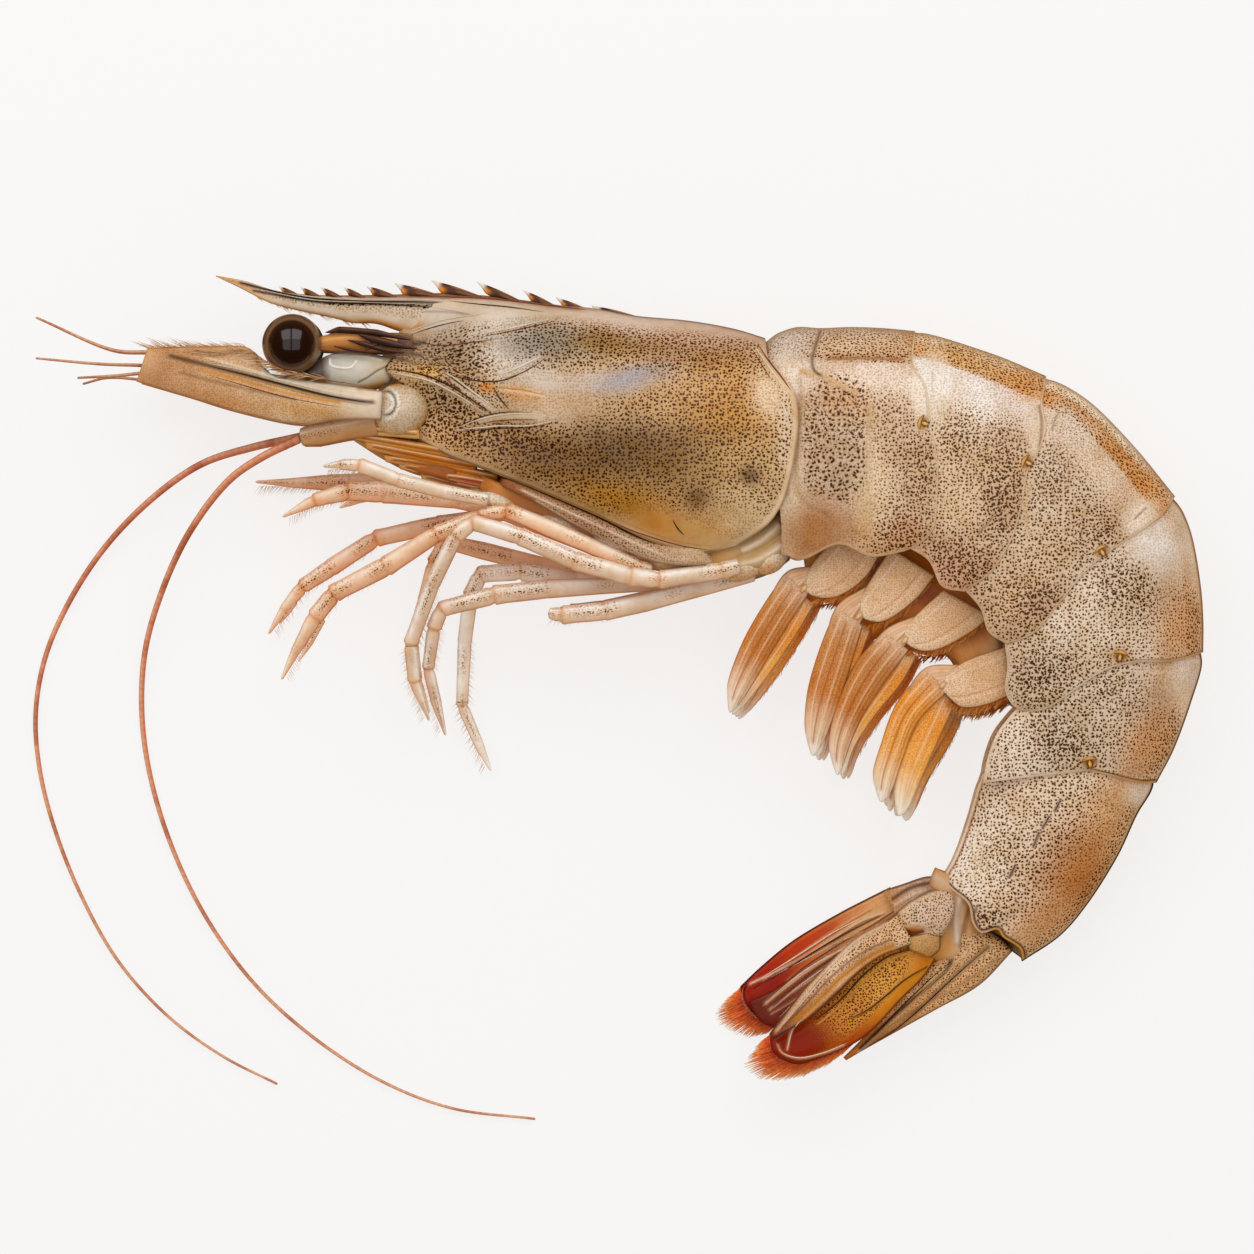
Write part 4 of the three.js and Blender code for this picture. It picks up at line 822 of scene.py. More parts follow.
def unit(ways):
    """Directions of length 1."""
    return ways / np.linalg.norm(ways, axis=-1, keepdims=True)


def left(ways):
    """Directions turned a quarter to the left in plan."""
    return np.stack([-ways[:, 1], ways[:, 0]], axis=1)


def offset(line, distance):
    """The line moved sideways, to the left of its direction of travel."""
    p = np.array(line, float)
    q = np.vstack([p[0], p, p[-1]])
    return p + left(unit(q[2:] - q[:-2])) * distance


# How far the flank of each ring is paled: partly by the white flesh under it and partly as painted light
# that makes up for the shade on the lower and rear rings.
FLANK_FLESH_AND_PAINTED_LIGHT = (0.12, 0.24, 0.24, 0.28, 0.4, 0.46)
# Where orange flesh shows undimmed: centre, two radii, turn, colour.
GLOW = {1: ("812,532", (3.4, 2.9), 20, rgb(170, 112, 44)),
        6: ("1074,866", (3.2, 5.4), -30, rgb(192, 126, 56))}


def ring_paint(number, look, flat, s, t):
    """Colours of one ring: plain back, orange band with a sharp lower line, pale flesh under it
    that is also a painted highlight, grey-tan side and brown flap, then its patches, the flank
    paled partly by painted light, its folds and rim."""
    band = look["line"]
    tint = plain(look["mid"], s)
    tint = lay(tint, look["low"], ease(0.7, 0.96, t))
    under = ease(band - 0.006, band + 0.01, t) * ease(look["pale_end"], band + 0.1, t)
    # Painted highlight: the pale stripe under the band, over the white flesh there.
    tint = lay(tint, look["pale"], under)
    tint = lay(tint, look["band"], ease(band + 0.008, band - 0.008, t))
    tint = lay(tint, look["dorsal"], ease(0.06, 0.03, t))
    fleck = 0.26 + 0.02 * ease(0.3, 0.5, t) - 0.1 * under
    blotch = 0.06 * ease(0.36, 0.5, t)
    for centre, size, turn, colour, share, small, large in PATCHES[number]:
        soft = pool(flat, centre, size, turn)
        tint = lay(tint, colour, share * soft)
        fleck, blotch = fleck + small * soft, blotch + large * soft
    # Painted light and pale flesh: the flank is paled, most on the rear rings, and everything a little.
    tint = lay(tint, rgb(250, 234, 216), FLANK_FLESH_AND_PAINTED_LIGHT[number - 1] * ease(0.16, 0.4, t) + 0.08)
    if number in GLOW:
        centre, size, turn, colour = GLOW[number]
        tint = lay(tint, colour, 0.6 * pool(flat, centre, size, turn))
    for line, rise, wide, colour, share in FOLDS[number]:
        mark = keel(flat, line, abs(wide) * 0.8, 0.05)
        tint = lay(tint, colour, share * mark)
        fleck, blotch = fleck * (1 - share * mark), blotch * (1 - share * mark)
    width, gold, margin, dark, faint = RIMS[number - 1]
    gap, _ = away(flat, spline(look["rim"], 80))
    gap = np.where(s >= 1, 0, gap)
    below = ease(0.36, 0.46, t)
    inked = (dark + (faint - dark) * below) * bell((gap - width * 1.5) / (0.05 + width * 0.36))
    tint = lay(tint, rgb(84, 50, 26), inked)
    tint = lay(tint, gold, margin * ease(width * 1.2, width * 0.7, gap) * (1 - 0.5 * below))
    clear = ease(width * 0.9, width * 1.8, gap)
    for spot, turn in HINGES[max(number - 2, 0):number]:
        hollow = pool(flat, spot, (0.62, 0.42), turn)
        tint = lay(tint, rgb(178, 124, 56), 0.85 * np.minimum(1, hollow * 2))
        # Painted shade: the dark core of the hinge hollow; the golden-brown ring round it is the shell's own
        # colour.
        tint = lay(tint, rgb(64, 38, 16), 0.9 * hollow ** 3)
        clear = clear * (1 - np.minimum(1, hollow * 2))
    back, share, foot = KEELS[number - 1]
    broad = t * (1.9 if number == 6 else 2.4)
    tint = lay(tint, rgb(206, 156, 88), 0.7 * share * ease(0.05, 0.035, broad))
    tint = lay(tint, back, share * ease(0.036, 0.022, broad))
    clear = clear * (1 - share * ease(0.06, 0.04, broad))
    low, _ = away(flat, spline([look["start"][-1], *look["edge"], look["rim"][-1]], 60))
    low = np.where(t < 0.5, 9, low)
    tint = lay(tint, rgb(226, 192, 150), 0.4 * ease(0.3, 0.12, low))
    tint = lay(tint, rgb(150, 88, 36), (0.9 if foot == 1 else 0.25 * foot) * bell((low - 0.34) / 0.1))
    clear = clear * ease(0.1, 0.4, low) * ease(1.0, 0.995, t)
    tint = lay(tint, rgb(216, 184, 150), ease(1.0, 1.003, t))
    return {"tint": tint, "fleck": np.clip(fleck - 0.015, 0.06, 0.27) * clear,
            "blotch": np.clip(blotch, 0, 0.26) * clear}


rings = []
for number, look in enumerate(SEGMENTS, 1):
    if number > 1:
        look["start"] = offset(SEGMENTS[number - 2]["rim"], -UNDERLAP).tolist()
    before, after = SEAM_HALF_WIDTH[number - 1], SEAM_HALF_WIDTH[number]
    foot = 0.55 if number == len(SEGMENTS) else 0.84
    points = shell_piece(
        f"ring_{number}", f"abdomen_segment_{number}",
        (look["start"], look["rim"], look["back"], look["edge"]),
        lambda s: before + (after - before) * s - 0.12,
        lambda s, t: ((before + (after - before) * s) * section(t, 0.52, foot)
                      + 0.3 * np.sin(np.pi * s) ** 0.8 * ease(0, 0.35, s) * ease(0.1, 0.5, t)),
        lambda flat: sum(rise * keel(flat, line, wide) for line, rise, wide, _, _ in FOLDS[number]),
        lambda flat, s, t: ring_paint(number, look, flat, s, t), 170, 110, 0.95 if number == 1 else 0.982)
    rings.append(points.reshape(-1, 3))

# ---- Hinges -----------------------------------------------------------------------------------
# The pivot of two rings is a small horny knob in a hollow under a short arch, all of clear
# golden brown shell; there is one pair per joint, left and right. The hollow's dark is painted
# shade: a dark core painted on the rings and two small dark lobes beside the knob. Each piece
# is painted lighter on top as a painted highlight.


def egg(centre, radii, turn=0.0, columns=40, rows=24):
    """Oval ball: rings of latitude about the vertical, turned in plan. Gives points and the
    latitude share from pole to pole."""
    a = np.linspace(0, 2 * np.pi, columns, endpoint=False)
    b = np.linspace(0, np.pi, rows)[:, None]
    x, y = np.sin(b) * np.cos(a) * radii[0], np.sin(b) * np.sin(a) * radii[1]
    z = np.cos(b) * radii[2] + 0 * a
    cos, sin = np.cos(np.radians(turn)), np.sin(np.radians(turn))
    points = np.stack([centre[0] + x * cos - y * sin, centre[1] + x * sin + y * cos, centre[2] + z], axis=-1)
    return points, b / np.pi + 0 * a


for i, (hinge, turn) in enumerate(HINGES):
    skins = np.vstack(rings[i:i + 2])
    spot = np.array(at(hinge)[0])
    gap = np.linalg.norm(skins[:, :2] - spot, axis=1)
    near = skins[gap < 0.5, 2]
    heading = np.array([np.cos(np.radians(turn)), np.sin(np.radians(turn))])
    way = np.array([-heading[1], heading[0]])
    for name, level, up in (("left", near.max(), 1), ("right", near.min(), -1)):
        top = 0 if up > 0 else 1
        for piece, shift, size, lean, bend, dull, lit in (
                ("knob", -0.16, (0.4, 0.2, 0.16), 90, 0.0, rgb(176, 118, 48), rgb(226, 186, 122)),
                ("arch", 0.42, (0.85, 0.19, 0.15), 0, 0.42, rgb(150, 96, 38), rgb(212, 168, 100)),
                # Painted shade: the two dark lobes stand for the shade in the hollow beside the knob.
                ("wing", -0.34, (0.42, 0.13, 0.1), 35, 0.0, rgb(92, 54, 22), rgb(150, 100, 50)),
                ("heel", -0.34, (0.42, 0.13, 0.1), 145, 0.0, rgb(92, 54, 22), rgb(150, 100, 50))):
            points, share = egg((*(spot + way * shift), level - 0.04 * up), size, turn + lean, 26, 14)
            off = (points[..., :2] - spot) @ heading
            points[..., :2] -= bend * off[..., None] ** 2 * way
            points[..., 2] = np.maximum(points[..., 2], 0)
            # Painted highlight: each piece is lighter on top.
            tint = lay(plain(dull, share), lit, ease(0.34, 0.08, np.abs(share - top)))
            skin(f"hinge_{i + 1}_{name}_{piece}", points, [], SHELL, tint=tint)

# ---- Tail fan ---------------------------------------------------------------------------------
# A pointed middle plate, grooved along its back, between two pairs of thin oar blades on short
# stalks: stiffened by ridges, speckled, deep red at the ends and fringed with red hairs.
TAIL_MIDPLANE = 4.6
FAN = finish("tail", shell, Coat_Weight=0.14, Coat_Roughness=0.12, Subsurface_Weight=0.06,
             Subsurface_Scale=0.0008, Specular_IOR_Level=0.08, IOR=1.5)


def ramp(x, colours):
    """Colour along x through stops of (place, colour)."""
    places = [place for place, _ in colours]
    return np.stack([np.interp(x, places, [colour[c] for _, colour in colours]) for c in range(3)], axis=-1)


def stops(text):
    """Colour stops from pairs of a place and an 8-bit colour."""
    words = text.split()
    return [(float(place), rgb(*map(int, colour.split(","))))
            for place, colour in zip(words[::2], words[1::2])]


def blade(name, lines, nodes, material, middle, thick, colours, long=110, wide=36, ridges=(), fleck=0.0,
          cup=0.0, edge=None, pools=(), blunt=None, strands=0.0):
    """Thin plate over a flat outline: rounded at its edges, cupped by cup, with raised or sunk
    lines. colours gives stops from root to tip; edge is (colour, width, share) of the margin.
    Past blunt the sides close in to an oval end; strands is the depth of lengthwise fibres."""
    t, over = there_and_back(wide)
    s = np.linspace(0, 1, long)
    if blunt:
        s = np.concatenate([np.linspace(0, blunt, long),
                            blunt + (1 - blunt) * np.sin(np.linspace(0, np.pi / 2, 17))[1:]])
    s2, t2 = np.meshgrid(s, t, indexing="ij")
    flat = patch(*lines, s2, t2)
    if blunt:
        heart = patch(*lines, s, np.full_like(s, 0.5))[:, None]
        close = np.sqrt(np.clip(1 - (np.maximum(s - blunt, 0) / (1 - blunt)) ** 2, 0, 1))[:, None, None]
        flat = heart + (flat - heart) * np.maximum(close, 0.02)
    tall = (thick[0] + (thick[1] - thick[0]) * s2) * np.sqrt(np.clip(1 - (2 * t2 - 1) ** 6, 0, 1))
    tall = tall * np.sqrt(np.clip(1 - (2 * s2 - 1) ** 16, 0, 1))
    for line, rise, width, *_ in ridges:
        tall = tall + rise * keel(flat, line, width, 0.04) * ease(0, 0.12, tall)
    level = (middle(s2) if callable(middle) else middle) + cup * (1 - (2 * t2 - 1) ** 2)
    points = np.concatenate([flat, np.maximum(level + over * tall, 0)[..., None]], axis=-1)
    tint = ramp(s2, colours)
    fleck = np.interp(s2, np.linspace(0, 1, len(np.atleast_1d(fleck))), np.atleast_1d(fleck))
    for centre, size, turn, colour, share, change in pools:
        soft = pool(flat, centre, size, turn)
        tint, fleck = lay(tint, colour, share * soft), fleck + change * soft
    rim = np.minimum(*(away(flat, spline(line, 60))[0] for line in (
        [lines[0][0], *lines[2], lines[1][0]], [lines[0][-1], *lines[3], lines[1][-1]])))
    fibre = sum(np.sin(t2 * fine + 2.2 * np.sin(s2 * wave) + start)
                for fine, wave, start in ((29, 3, 0.4), (53, 5, 2.1), (91, 4, 4.0)))
    tint = tint * (1 + strands * fibre[..., None] / 3)
    if edge:
        tint = lay(tint, edge[0], edge[2] * ease(edge[1], edge[1] * 0.4, rim))
    for line, rise, width, colour, share in ridges:
        mark = keel(flat, line, width, 0.03)
        tint = lay(tint, colour, share * mark)
        fleck = fleck * (1 - share * mark)
    fleck = np.clip(fleck, 0, 0.42) * ease(0.05, 0.3, rim)
    skin(name, points, nodes, material, tint=tint, fleck=fleck, weave=points * 1.3)


PALE_LINE = rgb(226, 188, 156)
blade("telson_plate",
      (at("956,928 980,928 1001,938 1014,952"), at("844,1059 847,1062"),
       at("942,955 922,972 887,1013 862,1041"), at("981,986 937,1011 887,1039 864,1052")), ["telson"], FAN,
      lambda s: TAIL_MIDPLANE + 0.9 - 0.6 * s, (1.7, 0.3),
      stops("0 216,178,136  .5 226,180,132  .85 200,128,66  1 206,122,44"),
      fleck=(0.26, 0.25, 0.2, 0.1), edge=(rgb(150, 92, 44), 0.26, 0.8),
      ridges=[(at("992,945 957,976 900,1028 860,1054"), -0.28, 0.28, rgb(120, 80, 48), 0.7),
              (at("972,950 945,973 900,1015 856,1056"), 0.22, 0.26, rgb(214, 184, 150), 0.5),
              (at("953,960 946,972 900,1012 858,1052"), -0.24, 0.2, rgb(64, 38, 22), 0.9),
              (at("1001,958 960,986 905,1017 868,1045"), 0.12, 0.2, rgb(150, 104, 62), 0.6),
              (at("962,944 953,952 951,962"), -0.2, 0.25, rgb(90, 62, 42), 0.6)])
blade("stalk_left",
      (at("936,889 951,893 955,910 943,937"), at("893,916 904,933"), at("925,893 905,905"),
       at("932,940 916,938")),
      ["uropod_protopod_left"], FAN, 7.7, (1.3, 0.9),
      stops("0 212,184,160  .6 226,204,184  1 212,178,136"), fleck=(0.2, 0.25, 0.22), cup=0.5,
      edge=(rgb(112, 70, 36), 0.26, 0.85),
      pools=[("911,931", (1.6, 0.6), 10, rgb(176, 100, 26), 0.95, -0.3)],
      ridges=[(at("902,929 912,933 924,931"), -0.2, 0.2, rgb(104, 52, 14), 0.9),
              (at("936,892 916,901 899,914"), 0.14, 0.2, rgb(226, 200, 170), 0.6)])
blade("stalk_lobe", (at("922,933 941,937"), at("908,949 931,958"), at("907,938"), at("940,950")),
      [], FAN, 8.2, (0.7, 0.5), stops("0 204,166,118  1 190,142,84"), fleck=0.1, cup=0.4,
      edge=(rgb(126, 74, 24), 0.26, 0.9))
blade("outer_oar_left",
      (at("897,913 914,944"), at("769,1034 774,1039"), at("882,923 857,937 834,958 808,984 788,1009"),
       at("903,948 887,953 862,969 838,992 809,1018")),
      ["uropod_exopod_left"], FAN, 8.7, (0.5, 0.25),
      stops("0 230,194,156  .5 234,198,164  .8 192,134,98  1 142,56,24"),
      fleck=(0.24, 0.26, 0.24, 0.1), cup=0.35, edge=(rgb(82, 44, 28), 0.28, 0.85),
      ridges=[(at("889,922 858,939 826,970 774,1034"), 0.24, 0.2, PALE_LINE, 0.8),
              (at("897,944 872,955 845,974 818,1000 792,1023"), -0.1, 0.4, rgb(196, 128, 44), 0.85),
              (at("893,938 866,950 838,970 806,1003 780,1029"), 0.1, 0.12, rgb(116, 66, 34), 0.75),
              (at("899,948 880,954 855,972 830,995 800,1022"), 0.14, 0.13, rgb(216, 150, 84), 0.8)])
blade("inner_oar_left",
      (at("915,941 936,960"), at("770,1037 772,1051 780,1060"),
       at("900,947 884,953 858,972 834,996 805,1019"),
       at("924,978 900,1002 877,1027 860,1041 837,1053 815,1061 797,1065")),
      ["uropod_endopod_left"], FAN, 7.1, (0.5, 0.3),
      stops("0 216,152,68  .3 222,164,80  .6 206,134,58  .8 172,70,16  1 138,32,6"), long=140, wide=56,
      fleck=(0.24, 0.29, 0.29, 0.24, 0.1), cup=0.5, edge=(rgb(104, 44, 22), 0.28, 0.85), strands=0.05,
      pools=[("909,986", (1.0, 4.6), -40, rgb(216, 144, 50), 0.95, -0.3),
             ("884,1013", (0.8, 3.4), -44, rgb(204, 122, 40), 0.9, -0.2),
             ("923,960", (1.2, 1.5), 0, rgb(206, 122, 40), 0.85, -0.3),
             ("800,1044", (3.8, 2.2), 10, rgb(140, 32, 0), 0.95, -0.2),
             ("858,1040", (3.2, 1.0), 30, rgb(170, 56, 16), 0.85, -0.2),
             ("864,976", (3.6, 1.2), 44, rgb(206, 150, 74), 0.6, 0.0)],
      ridges=[(at("929,966 905,980 886,996 868,1010 850,1019"), 0.14, 0.12, rgb(96, 52, 20), 0.85),
              (at("912,949 888,957 864,975 842,999 814,1021"), 0.22, 0.12, rgb(84, 40, 20), 0.85),
              (at("914,952 890,960 866,979 844,1003 816,1026"), 0.16, 0.12, rgb(222, 160, 92), 0.75),
              (at("803,1018 792,1030 787,1052"), 0.16, 0.14, rgb(222, 156, 116), 0.8),
              (at("777,1043 782,1053 800,1059 826,1053 846,1045"), 0.1, 0.12, rgb(226, 160, 120), 0.8)])
blade("stalk_right",
      (at("941,878 948,896"), at("884,892 899,921"), at("928,878 903,886"), at("928,898 911,908")),
      ["uropod_protopod_right"], FAN, 2.3, (0.9, 0.3),
      stops("0 196,170,152  .5 212,184,160  1 210,160,112"), fleck=0.1,
      edge=(rgb(96, 62, 48), 0.3, 0.8),
      ridges=[(at("935,884 912,890 893,902"), -0.2, 0.2, rgb(92, 54, 40), 0.8),
              (at("930,891 912,898 895,908"), 0.12, 0.2, rgb(230, 208, 190), 0.6)])
blade("outer_oar_right",
      (at("892,889 908,918"), at("741,989 742,1001 754,1015"), at("864,903 841,915 794,943 762,969"),
       at("882,934 842,962 800,994")),
      ["uropod_exopod_right"], FAN, 0.9, (0.6, 0.35),
      stops("0 232,184,134  .3 228,172,106  .55 208,104,40  .8 176,44,4  1 150,28,0"), long=140, wide=50,
      edge=(rgb(60, 16, 8), 0.28, 0.9),
      pools=[("812,942", (5.4, 0.8), 33, rgb(186, 52, 14), 0.9, 0),
             ("772,983", (3.0, 1.6), 38, rgb(156, 32, 2), 0.9, 0),
             ("848,938", (3.6, 1.0), 30, rgb(206, 158, 118), 0.6, 0)], strands=0.1,
      ridges=[(at("876,909 840,930 800,957 762,985"), 0.12, 0.1, rgb(222, 150, 110), 0.6),
              (at("889,914 862,924 830,944 790,968 748,988"), 0.18, 0.14, rgb(232, 190, 160), 0.85),
              (at("889,920 850,942 812,966 786,985"), 0.12, 0.1, rgb(226, 176, 140), 0.7),
              (at("884,917 846,937 800,963 752,994"), -0.1, 0.1, rgb(110, 42, 18), 0.6)])
blade("inner_oar_right",
      (at("896,912 908,930"), at("749,1004 760,1023 778,1032"), at("874,926 846,942 806,968 778,990"),
       at("880,942 846,975 806,1012")),
      ["uropod_endopod_right"], FAN, 2.2, (0.45, 0.3),
      stops("0 186,136,84  .35 178,122,78  .6 158,88,58  .85 128,58,42  1 104,30,18"), long=140, wide=50,
      fleck=(0.1, 0.14, 0.1, 0.0), edge=(rgb(92, 34, 20), 0.22, 0.8), strands=0.1,
      ridges=[(at("884,926 850,947 806,975 764,1008"), 0.2, 0.18, rgb(222, 176, 140), 0.85),
              (at("880,938 845,962 800,990 768,1014"), 0.18, 0.16, rgb(206, 160, 134), 0.7),
              (at("868,950 830,980 790,1006 770,1018"), 0.16, 0.12, rgb(196, 150, 128), 0.6),
              (at("860,944 815,974 772,1010"), -0.1, 0.12, rgb(100, 52, 38), 0.7),
              (at("866,955 820,992 778,1020"), -0.1, 0.12, rgb(100, 52, 38), 0.7)])

# ---- Tail membrane ----------------------------------------------------------------------------
# Soft clear skin that joins the last ring to the fan, golden where it folds.
SKIN = finish("soft_skin", shell, Coat_Weight=0.3, Coat_Roughness=0.1, Subsurface_Weight=0.2,
              Subsurface_Scale=0.0015, Specular_IOR_Level=0.12)
blade("tail_membrane",
      (at("936,868 962,880 974,900 976,922 988,930"), at("930,886 946,904 942,928 930,944 927,962"),
       at("932,877"), at("956,963")), [], SKIN, TAIL_MIDPLANE + 0.9, (1.7, 1.7),
      stops("0 200,138,60  .4 214,184,156  1 204,150,84"),
      ridges=[(at("962,893 956,915 958,945"), 0.3, 0.4, rgb(222, 206, 192), 0.9),
              (at("972,905 966,925 962,950"), -0.3, 0.3, rgb(160, 108, 56), 0.8)],
      pools=[("960,897", (1.4, 1.0), 0, rgb(214, 146, 62), 0.9, 0),
             ("940,945", (1.6, 2.2), -30, rgb(216, 150, 72), 0.9, 0)])

# ---- Tail hairs -------------------------------------------------------------------------------
# Feathered swimming hairs, one fine red bristle beside the next along the ends of the oars,
# orange at the root and bleached at the tip.


def hairs(name, slot, roots, tips, thick, colours, seed, level, jitter, sag=0.1, steps=6):
    """Many tapering three-sided bristles from one line to another, in one mesh. Each follows a
    bent line with a little disorder; colours gives stops from root to tip."""
    rng = np.random.default_rng(seed)
    n = len(roots)
    a = np.column_stack([roots, np.full(n, level[0]) if np.isscalar(level[0]) else level[0]])
    b = np.column_stack([tips, np.full(n, level[1]) if np.isscalar(level[1]) else level[1]])
    b = a + (b - a) * (1 + rng.normal(0, 0.05, (n, 1))) + rng.normal(0, jitter, (n, 3)) * [1, 1, 0.5]
    u = np.linspace(0, 1, steps)[:, None, None]
    bend = rng.normal(0, sag, (n, 3)) * [1, 1, 0.4]
    line = a + (b - a) * u + bend * np.sin(np.pi * u)
    way = unit(b - a)
    side = unit(np.cross(way, [0, 0, 1.0]))
    up = np.cross(side, way)
    angle = np.array([0.5, 2.6, 4.7])[:, None, None, None]
    radius = thick * (1 - 0.88 * u ** 1.5) * rng.uniform(0.75, 1.25, (n, 1))
    ring = line + radius * (np.cos(angle) * side + np.sin(angle) * up)
    points = np.moveaxis(ring, (0, 1, 2), (2, 1, 0)).copy()
    points[..., 2] = np.maximum(points[..., 2], 0.02)
    share = np.broadcast_to(np.linspace(0, 1, steps)[:, None], (n, steps, 3))
    tone = rng.uniform(0.8, 1.15, n)[:, None, None, None]
    skin(name, points, [], HAIR, slot, tint=ramp(share, colours) * tone)


def bristle(start):
    """Tint from the mesh, a little darker in bands."""
    spot = grain(start)
    tint = start.node("ShaderNodeAttribute", {"attribute_name": "tint"})
    band = spot.node("ShaderNodeTexNoise", Vector=spot, Scale=3.0, Detail=1.0)
    return {"Base_Color": band.between(0.4, 0.7).mix(tint, (0.8, 0.7, 0.6, 1), "MULTIPLY"),
            "Roughness": band * 0.3 + 0.3}


HAIR = finish("hair", bristle, Subsurface_Weight=0.1, Subsurface_Scale=0.0005)
RED_HAIR = stops("0 196,44,4  .25 255,102,32  .7 255,142,72  1 252,194,142")
FRINGES = [
    (at("748,986 745,994 746,1004 752,1013 762,1021 774,1029"),
     at("741,991 722,1008 716,1021 730,1033 748,1040 768,1037"), 62, 1.0, 0.15),
    (at("772,1035 773,1048 782,1058 800,1061 826,1055 850,1044 872,1027"),
     at("760,1043 747,1064 754,1076 772,1081 802,1077 832,1063 862,1037"), 92, 7.0, 0.15),
]
for i, (root, tip, count, level, thick) in enumerate(FRINGES):
    for k, (share, wide, colours) in enumerate([
            (1.0, 1.0, RED_HAIR), (0.92, 0.8, stops("0 204,56,12  .6 246,118,56  1 244,196,158")),
            (0.3, 1.1, stops("0 176,70,36  .4 230,170,140  1 244,226,212"))]):
        start = spline(root, count)
        hairs(f"fan_hairs_{i + 1}_{k + 1}", "tail", start, mix_lines(start, spline(tip, count), share),
              thick * wide, colours, 11 + 10 * i + k, (level + 0.12 * k, max(level - 0.5, 0.15)),
              0.04, 0.012, 8)

# ---- Swimming legs ----------------------------------------------------------------------------
# Five pairs under the abdomen: a broad soft plate hung from the ring, then two oar blades bent
# back towards the tail, orange and veined, with clear margins and a fringe of fine hairs.
PADDLE = finish("swimming_leg", shell, Coat_Weight=0.18, Coat_Roughness=0.12, Subsurface_Weight=0.25,
                Subsurface_Scale=0.0012, Specular_IOR_Level=0.1)
SWIM_STAGGER = (0.7, -0.5)
SWIM_LEGS = [
    {"plate": (at("836,536 880,552"), at("799,583 812,600"), at("816,558"), at("864,578 838,596")),
     "outer": (at("786,572 808,594"), at("725,707 733,717"), at("766,600 742,642 727,684"),
               at("790,622 771,653 750,688")),
     "inner": (at("796,588 814,604"), at("729,711 735,718"), at("782,622 760,656 740,690"),
               at("800,628 778,662 754,694")), "z": 12.6},
    {"plate": (at("890,548 934,576"), at("854,606 866,625"), at("872,576"), at("914,600 886,620")),
     "outer": (at("836,606 862,626"), at("806,752 818,759"), at("819,648 807,690 804,724"),
               at("849,670 835,712 824,742")),
     "inner": (at("850,612 870,630"), at("812,754 822,758"), at("838,650 822,700"),
               at("860,658 843,702 828,734")), "z": 12.6},
    {"plate": (at("942,590 990,616"), at("900,630 908,651"), at("918,612"), at("970,632 934,650")),
     "outer": (at("884,630 908,650"), at("831,770 842,779"), at("857,660 837,702 828,740"),
               at("883,684 859,722 846,756")),
     "inner": (at("896,638 916,656"), at("837,771 846,777"), at("874,676 852,716"),
               at("902,682 873,718 852,752")), "z": 12.6},
    {"plate": (at("1006,646 1010,694"), at("936,679 948,701"), at("966,660"), at("986,704 962,707")),
     "outer": (at("924,668 948,690"), at("874,797 886,806"), at("895,704 880,744 872,774"),
               at("917,722 901,762 892,790")),
     "inner": (at("934,676 954,704"), at("892,811 905,820"), at("914,720 896,768"), at("940,736 919,784")),
     "z": 12.4},
    {"plate": (at("990,664 1006,696"), at("950,678 952,698"), at("970,664"), at("985,704 966,706")),
     "outer": (at("930,676 952,700"), at("884,806 894,816"), at("910,714 890,764"), at("928,730 904,774")),
     "inner": (at("938,684 958,708"), at("892,812 905,820"), at("918,724 898,776"), at("948,732 918,782")),
     "z": 10.2},
]
blade("swim_roots",
      (at("800,540 806,572"), at("1003,640 1004,700"), at("850,536 905,532 945,560 985,598"),
       at("804,613 832,600 848,606 866,640 890,636 912,652 946,656 966,690 986,702")),
      [], PADDLE, MIDPLANE - 0.6, (3.2, 3.2),
      stops("0 206,150,92  .3 212,136,60  .6 204,120,46  1 214,160,100"), 120, 30, strands=0.1,
      # Painted shade: the three darker orange pools between the plates.
      pools=[("880,572", (2.0, 1.6), 0, rgb(170, 84, 22), 0.9, 0),
             ("925,592", (2.0, 1.2), -30, rgb(176, 88, 26), 0.9, 0),
             ("972,628", (2.0, 1.2), -30, rgb(182, 96, 30), 0.9, 0),
             ("1000,668", (1.4, 3.0), 0, rgb(230, 204, 172), 0.9, 0)])
